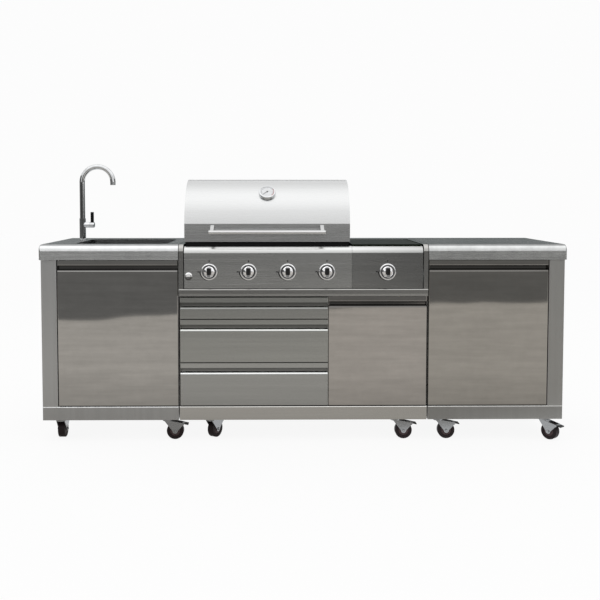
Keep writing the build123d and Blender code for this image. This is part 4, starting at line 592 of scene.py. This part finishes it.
# Temperature gauge: dial, marks and needle inside its rim
arc_radius = (HOOD_CROWN**2 + HOOD_RISE**2) / (2 * HOOD_RISE)
gauge_low, gauge_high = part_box("temperature_gauge")
gauge_normal = Vector((0.0, -cos(GAUGE_TILT), sin(GAUGE_TILT)))
gauge_up = Vector((0.0, sin(GAUGE_TILT), cos(GAUGE_TILT)))
gauge_right = Vector((1.0, 0.0, 0.0))
arc_middle = Vector(((gauge_low.x + gauge_high.x) / 2, hood_low.y + HOOD_CROWN, hood_high.z - arc_radius))
dial_floor = arc_middle + gauge_normal * (arc_radius + GAUGE_FACE)
DIAL_THICK = 0.8 * MM
MARK_THICK = 0.3 * MM
DIAL_START = radians(225.0)
DIAL_SWEEP = radians(270.0)
DIAL_MARKS = 25
dial_turn = Matrix((gauge_right, gauge_up, gauge_normal)).transposed()


def on_dial(radius, angle, lift):
    """A point on the dial at a radius and an angle from its right."""
    across = gauge_right * (radius * cos(angle)) + gauge_up * (radius * sin(angle))
    return dial_floor + across + gauge_normal * lift


dial = disc(GAUGE_WINDOW - 0.3 * MM, DIAL_THICK, dial_floor, gauge_normal, 48)
piece("gauge_dial", "hood", dial_white, [dial])
marks = []
for step in range(DIAL_MARKS):
    angle = DIAL_START - DIAL_SWEEP * step / (DIAL_MARKS - 1)
    long = 5.0 * MM if step % 4 == 0 else 2.6 * MM
    place = on_dial(GAUGE_WINDOW - 4.0 * MM - long / 2, angle, DIAL_THICK + MARK_THICK / 2)
    marks.append(slab(place, (long, 0.9 * MM, MARK_THICK), dial_turn @ Matrix.Rotation(angle, 3, "Z")))
piece("gauge_marks", "hood", print_black, marks)
hot = []
for step in range(DIAL_MARKS // 3):
    angle = DIAL_START - DIAL_SWEEP + DIAL_SWEEP * step / (DIAL_MARKS - 1)
    place = on_dial(GAUGE_WINDOW - 2.4 * MM, angle, DIAL_THICK + MARK_THICK / 2)
    hot.append(slab(place, (1.6 * MM, 5.4 * MM, MARK_THICK), dial_turn @ Matrix.Rotation(angle, 3, "Z")))
piece("gauge_hot_band", "hood", print_red, hot)
needle_angle = DIAL_START - radians(8.0)
needle_place = on_dial(9.0 * MM, needle_angle, DIAL_THICK + 0.9 * MM)
needle_turn = dial_turn @ Matrix.Rotation(needle_angle, 3, "Z")
needle = slab(needle_place, (26.0 * MM, 1.4 * MM, 0.6 * MM), needle_turn)
needle_hub = disc(3.2 * MM, 1.6 * MM, on_dial(0.0, 0.0, DIAL_THICK), gauge_normal, 24, 0.4 * MM)
piece("gauge_needle", "hood", print_black, [needle, needle_hub])

# Prints round the knobs, and black rings behind the knobs as painted shade in their gaps
PRINT_THICK = 0.15 * MM
GAP_SHADE_THICK = 0.4 * MM
ARC_START, ARC_END, ARC_STEPS = radians(178.0), radians(262.0), 16
ARC_WIDE, ARC_NARROW = 5.5 * MM, 0.8 * MM


def level_arc(x, z):
    """A printed arc beside a bezel that narrows from its left end to its foot."""

    def add(mesh):
        rows = []
        for step in range(ARC_STEPS + 1):
            share = step / ARC_STEPS
            angle = ARC_START + (ARC_END - ARC_START) * share
            near = BEZEL_RADIUS + 0.8 * MM
            far = near + ARC_WIDE + (ARC_NARROW - ARC_WIDE) * share
            corners = [(near, 0.0), (far, 0.0), (far, PRINT_THICK), (near, PRINT_THICK)]
            rows.append([
                mesh.verts.new((x + r * cos(angle), PANEL_PLANE - lift, z + r * sin(angle)))
                for r, lift in corners
            ])
        for here, there in zip(rows, rows[1:]):
            for index in range(4):
                after = (index + 1) % 4
                mesh.faces.new((here[index], there[index], there[after], here[after]))
        mesh.faces.new(rows[0])
        mesh.faces.new(rows[-1])

    return add


prints, gap_shades = [], []
for name in knobs:
    low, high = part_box(name)
    middle = (low + high) / 2
    for angle, long in ((pi / 2, 7.0 * MM), (pi, 8.0 * MM)):
        reach = BEZEL_RADIUS + 11.0 * MM
        place = (middle.x + reach * cos(angle), PANEL_PLANE - PRINT_THICK / 2, middle.z + reach * sin(angle))
        prints.append(slab(place, (long, PRINT_THICK, 5.0 * MM), Matrix.Rotation(-angle, 3, "Y")))
    prints.append(level_arc(middle.x, middle.z))
    # Painted shade: a black ring on the panel inside each bezel, behind its knob
    rim = BEZEL_BORE - 0.4 * MM
    ring = [(KNOB_STEM, 0.0), (rim, 0.0), (rim, GAP_SHADE_THICK), (KNOB_STEM, GAP_SHADE_THICK)]
    gap_shades.append(lathe(ring, (middle.x, PANEL_PLANE, middle.z), (0, -1, 0), 48))
piece("panel_prints", "island", print_black, prints)
piece("knob_gaskets", "island", print_black, gap_shades)

# Ring over the ignition button's collar
RING_PROFILE = ((10.2, 4.1), (14.1, 4.1), (14.1, 0.0), (18.0, 0.0), (18.0, 1.4), (17.0, 3.6), (15.0, 5.4),
                (12.6, 6.3), (10.2, 6.5))
button_ring = lathe([(r * MM, h * MM) for r, h in RING_PROFILE], button_axis, (0, -1, 0), 48)
piece("button_ring", "island", ring_chrome, [button_ring])

# Sink strainer
drain_low, drain_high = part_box("sink_drain")
sink_low, sink_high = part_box("sink_basin")
drain_x = (drain_low.x + drain_high.x) / 2
drain_y = (sink_low.y + sink_high.y) / 2
strainer_z = drain_high.z - 9.0 * MM
strainer = [
    lathe([(6.0 * MM, 0.0), (DRAIN_INNER - 1.0 * MM, 0.0), (DRAIN_INNER - 1.0 * MM, 7.5 * MM),
           (DRAIN_INNER - 2.0 * MM, 7.5 * MM), (DRAIN_INNER - 2.0 * MM, 1.0 * MM), (6.0 * MM, 1.0 * MM)],
          (drain_x, drain_y, strainer_z), (0, 0, 1), 48),
    disc(5.0 * MM, 9.0 * MM, (drain_x, drain_y, strainer_z), (0, 0, 1), 24, 1.5 * MM),
]
piece("strainer", "island", chrome, strainer)
# Painted shade: black discs on the strainer stand in for its holes
holes = []
for ring, count in ((13.0 * MM, 8), (22.0 * MM, 14), (31.0 * MM, 20)):
    for step in range(count):
        angle = 2 * pi * step / count
        place = (drain_x + ring * cos(angle), drain_y + ring * sin(angle), strainer_z + 1.0 * MM)
        holes.append(disc(2.4 * MM, 0.12 * MM, place, (0, 0, 1), 12))
piece("strainer_holes", "island", print_black, holes)

# Aerator in the tap's mouth
mouth_top = joints["tap_spout"]["pos_m"][2] + MOUTH_RISE
mouth = (spout_high.x - SPOUT_RADIUS, (spout_low.y + spout_high.y) / 2, mouth_top)
bore = SPOUT_RADIUS - SPOUT_WALL
sleeve_radii = (bore - 2.2 * MM, bore - 0.1 * MM)
sleeve = [(sleeve_radii[0], 1.0 * MM), (sleeve_radii[1], 1.0 * MM),
          (sleeve_radii[1], 8.0 * MM), (sleeve_radii[0], 8.0 * MM)]
piece("aerator", "tap_spout", chrome, [lathe(sleeve, mouth, (0, 0, 1), 40)])
mesh_disc = disc(bore - 2.4 * MM, 1.0 * MM, (mouth[0], mouth[1], mouth[2] + 4.0 * MM), (0, 0, 1), 40)
piece("aerator_mesh", "tap_spout", print_black, [mesh_disc])

# Caster hubs, nuts and plate bolts
for name, joint in joints.items():
    if "wheel" not in name:
        continue
    centre, axis = Vector(joint["pos_m"]), Vector(joint["axis"]).normalized()
    caps, nuts = [], []
    for side in (-1, 1):
        out = axis * side
        floor = centre + out * (WHEEL_HALF - HUB_RECESS)
        inner, outer = HUB_BOSS + 0.4 * MM, HUB_RADIUS - 0.6 * MM
        crown = (HUB_RADIUS - 3.0 * MM, 2.2 * MM)
        profile = [(inner, 0.0), (outer, 0.0), (outer, 1.4 * MM), crown, (inner, 1.2 * MM)]
        caps.append(lathe(profile, floor, out, 40))
        nuts.append(disc(6.5 * MM, 4.0 * MM, centre + out * LEG_OUTER, out, 6, 0.8 * MM))
        nuts.append(disc(4.0 * MM, 6.0 * MM, centre + out * LEG_OUTER, out, 16, 0.8 * MM))
    piece(f"{name}_caps", name, hub_grey, caps)
    piece(f"{name}_nuts", joint["parent"], zinc, nuts)
bolts = []
bolt_places = [
    joint["pos_m"] for joint in frame["joints"] if "swivel" in joint["name"] or "rear" in joint["name"]
]
for x, y, _ in bolt_places:
    for dx in (-PLATE_BOLTS[0], PLATE_BOLTS[0]):
        for dy in (-PLATE_BOLTS[1], PLATE_BOLTS[1]):
            bolts.append(disc(5.0 * MM, 2.6 * MM, (x + dx, y + dy, PLATE_BOTTOM), (0, 0, -1), 6, 0.5 * MM))
piece("plate_bolts", "island", zinc, bolts)

# Stage: floor, cards that the steel reflects, world and lamps
FLOOR_SIZE = 40.0
FLOOR_SHADE = (0.86, 0.86, 0.86)
FLOOR_WHITE = 0.90
BACKDROP_WHITE = 0.975
CARD_WHITE = (1.0, 1.0, 0.98)
WORLD_FILL = 0.85
OVERHEAD_WIDTH = 9.0
OVERHEAD_PLACE = (0.0, -0.9, 4.4)  # of the lowest lamp
OVERHEAD_STEP = 0.1
OVERHEAD_TARGET = (0.0, -0.1, 0.8)
OVERHEAD = {1.6: 0.07, 3.2: 0.12, 5.2: 0.14, 7.6: 0.085, 10.0: 0.055}  # depth of a lamp and its radiance


def stage_plane(name, centre, size, turn, look):
    """A flat stage piece."""
    mesh = bmesh.new()
    place = Matrix.Translation(centre) @ turn.to_matrix().to_4x4() @ Matrix.Diagonal((*size, 1.0, 1.0))
    bmesh.ops.create_grid(mesh, x_segments=1, y_segments=1, size=0.5, matrix=place)
    data = bpy.data.meshes.new(name)
    mesh.to_mesh(data)
    mesh.free()
    data.materials.append(look)
    made = bpy.data.objects.new(name, data)
    bpy.context.scene.collection.objects.link(made)
    return made


def background_share(tree):
    """1 on rays from the camera, a mirror or a glass, else 0."""
    path = tree.nodes.new("ShaderNodeLightPath")
    first = tree.nodes.new("ShaderNodeMath")
    first.operation = "MAXIMUM"
    second = tree.nodes.new("ShaderNodeMath")
    second.operation = "MAXIMUM"
    tree.links.new(path.outputs["Is Camera Ray"], first.inputs[0])
    tree.links.new(path.outputs["Is Glossy Ray"], first.inputs[1])
    tree.links.new(first.outputs["Value"], second.inputs[0])
    tree.links.new(path.outputs["Is Transmission Ray"], second.inputs[1])
    return second.outputs["Value"]


def emitter(name, colour, strength, fall=None):
    """A card that glows, evenly or with a strength that changes along Y from one place to another."""
    material = bpy.data.materials.new(name)
    material.use_nodes = True
    tree = material.node_tree
    tree.nodes.clear()
    glow = tree.nodes.new("ShaderNodeEmission")
    glow.inputs["Color"].default_value = rgba(colour)
    glow.inputs["Strength"].default_value = strength
    if fall:
        coords = tree.nodes.new("ShaderNodeTexCoord")
        split = tree.nodes.new("ShaderNodeSeparateXYZ")
        ramp = tree.nodes.new("ShaderNodeMapRange")
        ramp.inputs["From Min"].default_value = fall[0]
        ramp.inputs["From Max"].default_value = fall[1]
        ramp.inputs["To Min"].default_value = fall[2]
        ramp.inputs["To Max"].default_value = strength
        tree.links.new(coords.outputs["Object"], split.inputs["Vector"])
        tree.links.new(split.outputs["Y"], ramp.inputs["Value"])
        tree.links.new(ramp.outputs["Result"], glow.inputs["Strength"])
    end = tree.nodes.new("ShaderNodeOutputMaterial")
    tree.links.new(glow.outputs["Emission"], end.inputs["Surface"])
    return material


floor_look, floor_tree, floor_shader = graph("floor", {"Base Color": rgba(FLOOR_SHADE), "Roughness": 0.9})
floor_glow = floor_tree.nodes.new("ShaderNodeEmission")
floor_glow.inputs["Strength"].default_value = 1.0
floor_mix = floor_tree.nodes.new("ShaderNodeMixShader")
floor_share = floor_tree.nodes.new("ShaderNodeMath")
floor_share.operation = "MULTIPLY"
floor_share.inputs[1].default_value = FLOOR_WHITE
floor_tree.links.new(background_share(floor_tree), floor_share.inputs[0])
floor_tree.links.new(floor_share.outputs["Value"], floor_mix.inputs["Fac"])
floor_tree.links.new(floor_shader.outputs["BSDF"], floor_mix.inputs[1])
floor_tree.links.new(floor_glow.outputs["Emission"], floor_mix.inputs[2])
floor_end = next(node for node in floor_tree.nodes if node.type == "OUTPUT_MATERIAL")
floor_tree.links.new(floor_mix.outputs["Shader"], floor_end.inputs["Surface"])
flat = Matrix.Identity(3).to_euler()
stage_plane("floor", (0.0, 0.0, -0.5 * MM), (FLOOR_SIZE, FLOOR_SIZE), flat, floor_look)

upright = Matrix.Rotation(pi / 2, 3, "X").to_euler()


def reflection_card(name, centre, size, turn, colour, strength, fall=None):
    """A card outside the picture that only mirrors see."""
    card = stage_plane(name, centre, size, turn, emitter(name, colour, strength, fall))
    card.visible_camera = False
    card.visible_diffuse = False
    card.visible_shadow = False


slanted = Matrix.Rotation(radians(-14.0), 3, "Z").to_euler()
sideways = (Matrix.Rotation(pi / 2, 3, "Z") @ Matrix.Rotation(pi / 2, 3, "X")).to_euler()
near_floor_shadow_fall = (-0.5, -1.8, 0.42)  # painted shadow of the island: from one Y to another, and the strength at the first, nearest the island
for card in (
    ("front_card", (0.0, -9.0, 0.75), (24.0, 1.5), upright, CARD_WHITE, 0.2),
    ("front_floor_card", (0.0, -5.6, 2.0 * MM), (24.0, 7.0), flat, CARD_WHITE, 0.19),
    ("near_floor_card", (0.0, -2.45, 4.0 * MM), (24.0, 4.2), slanted, (1.0, 0.96, 0.90), 0.62, near_floor_shadow_fall),
    ("back_card", (0.0, 7.0, 1.9), (24.0, 3.8), upright, (0.9, 1.0, 1.0), 0.2),
    ("left_card", (-9.0, -1.0, 2.0), (16.0, 4.0), sideways, CARD_WHITE, 0.12),
    ("right_card", (9.0, 1.8, 2.0), (10.4, 4.0), sideways, CARD_WHITE, 0.12),
):
    reflection_card(*card)

world = bpy.data.worlds.new("studio")
bpy.context.scene.world = world
world.use_nodes = True
world_tree = world.node_tree
backdrop = world_tree.nodes["Background"]
backdrop.inputs["Color"].default_value = rgba((1.0, 1.0, 1.0))
world_strength = world_tree.nodes.new("ShaderNodeMapRange")
world_strength.inputs["To Min"].default_value = WORLD_FILL
world_strength.inputs["To Max"].default_value = BACKDROP_WHITE
world_tree.links.new(background_share(world_tree), world_strength.inputs["Value"])
world_tree.links.new(world_strength.outputs["Result"], backdrop.inputs["Strength"])


def softbox(name, place, target, size, power):
    """A large rectangular lamp that faces a point."""
    lamp = bpy.data.lights.new(name, "AREA")
    lamp.shape = "RECTANGLE"
    lamp.size, lamp.size_y = size
    lamp.energy = power
    made = bpy.data.objects.new(name, lamp)
    made.location = place
    made.rotation_euler = (Vector(target) - Vector(place)).to_track_quat("-Z", "Y").to_euler()
    made.visible_camera = False
    bpy.context.scene.collection.objects.link(made)


# Nested lamps of one width, one above the other: their glow fades from the middle of the ceiling to its edges
for level, (deep, glow) in enumerate(OVERHEAD.items()):
    place = (OVERHEAD_PLACE[0], OVERHEAD_PLACE[1], OVERHEAD_PLACE[2] + OVERHEAD_STEP * level)
    power = glow * pi * OVERHEAD_WIDTH * deep
    softbox(f"overhead_{level}", place, OVERHEAD_TARGET, (OVERHEAD_WIDTH, deep), power)

# Camera
lens = bpy.data.cameras.new("camera")
lens.sensor_width = SENSOR
lens.lens = FOCAL_PIXELS * SENSOR / IMAGE_SIZE
lens.shift_x = (IMAGE_SIZE / 2 - PRINCIPAL_PIXEL[0]) / IMAGE_SIZE
lens.shift_y = (PRINCIPAL_PIXEL[1] - IMAGE_SIZE / 2) / IMAGE_SIZE
camera = bpy.data.objects.new("camera", lens)
camera.location = CAMERA_PLACE
ahead = Vector((sin(CAMERA_YAW), cos(CAMERA_YAW), 0.0))
forward = ahead * cos(CAMERA_PITCH) - Vector((0.0, 0.0, sin(CAMERA_PITCH)))
camera.rotation_euler = forward.to_track_quat("-Z", "Y").to_euler()
bpy.context.scene.collection.objects.link(camera)
bpy.context.scene.camera = camera
bpy.context.scene.view_settings.view_transform = "Standard"
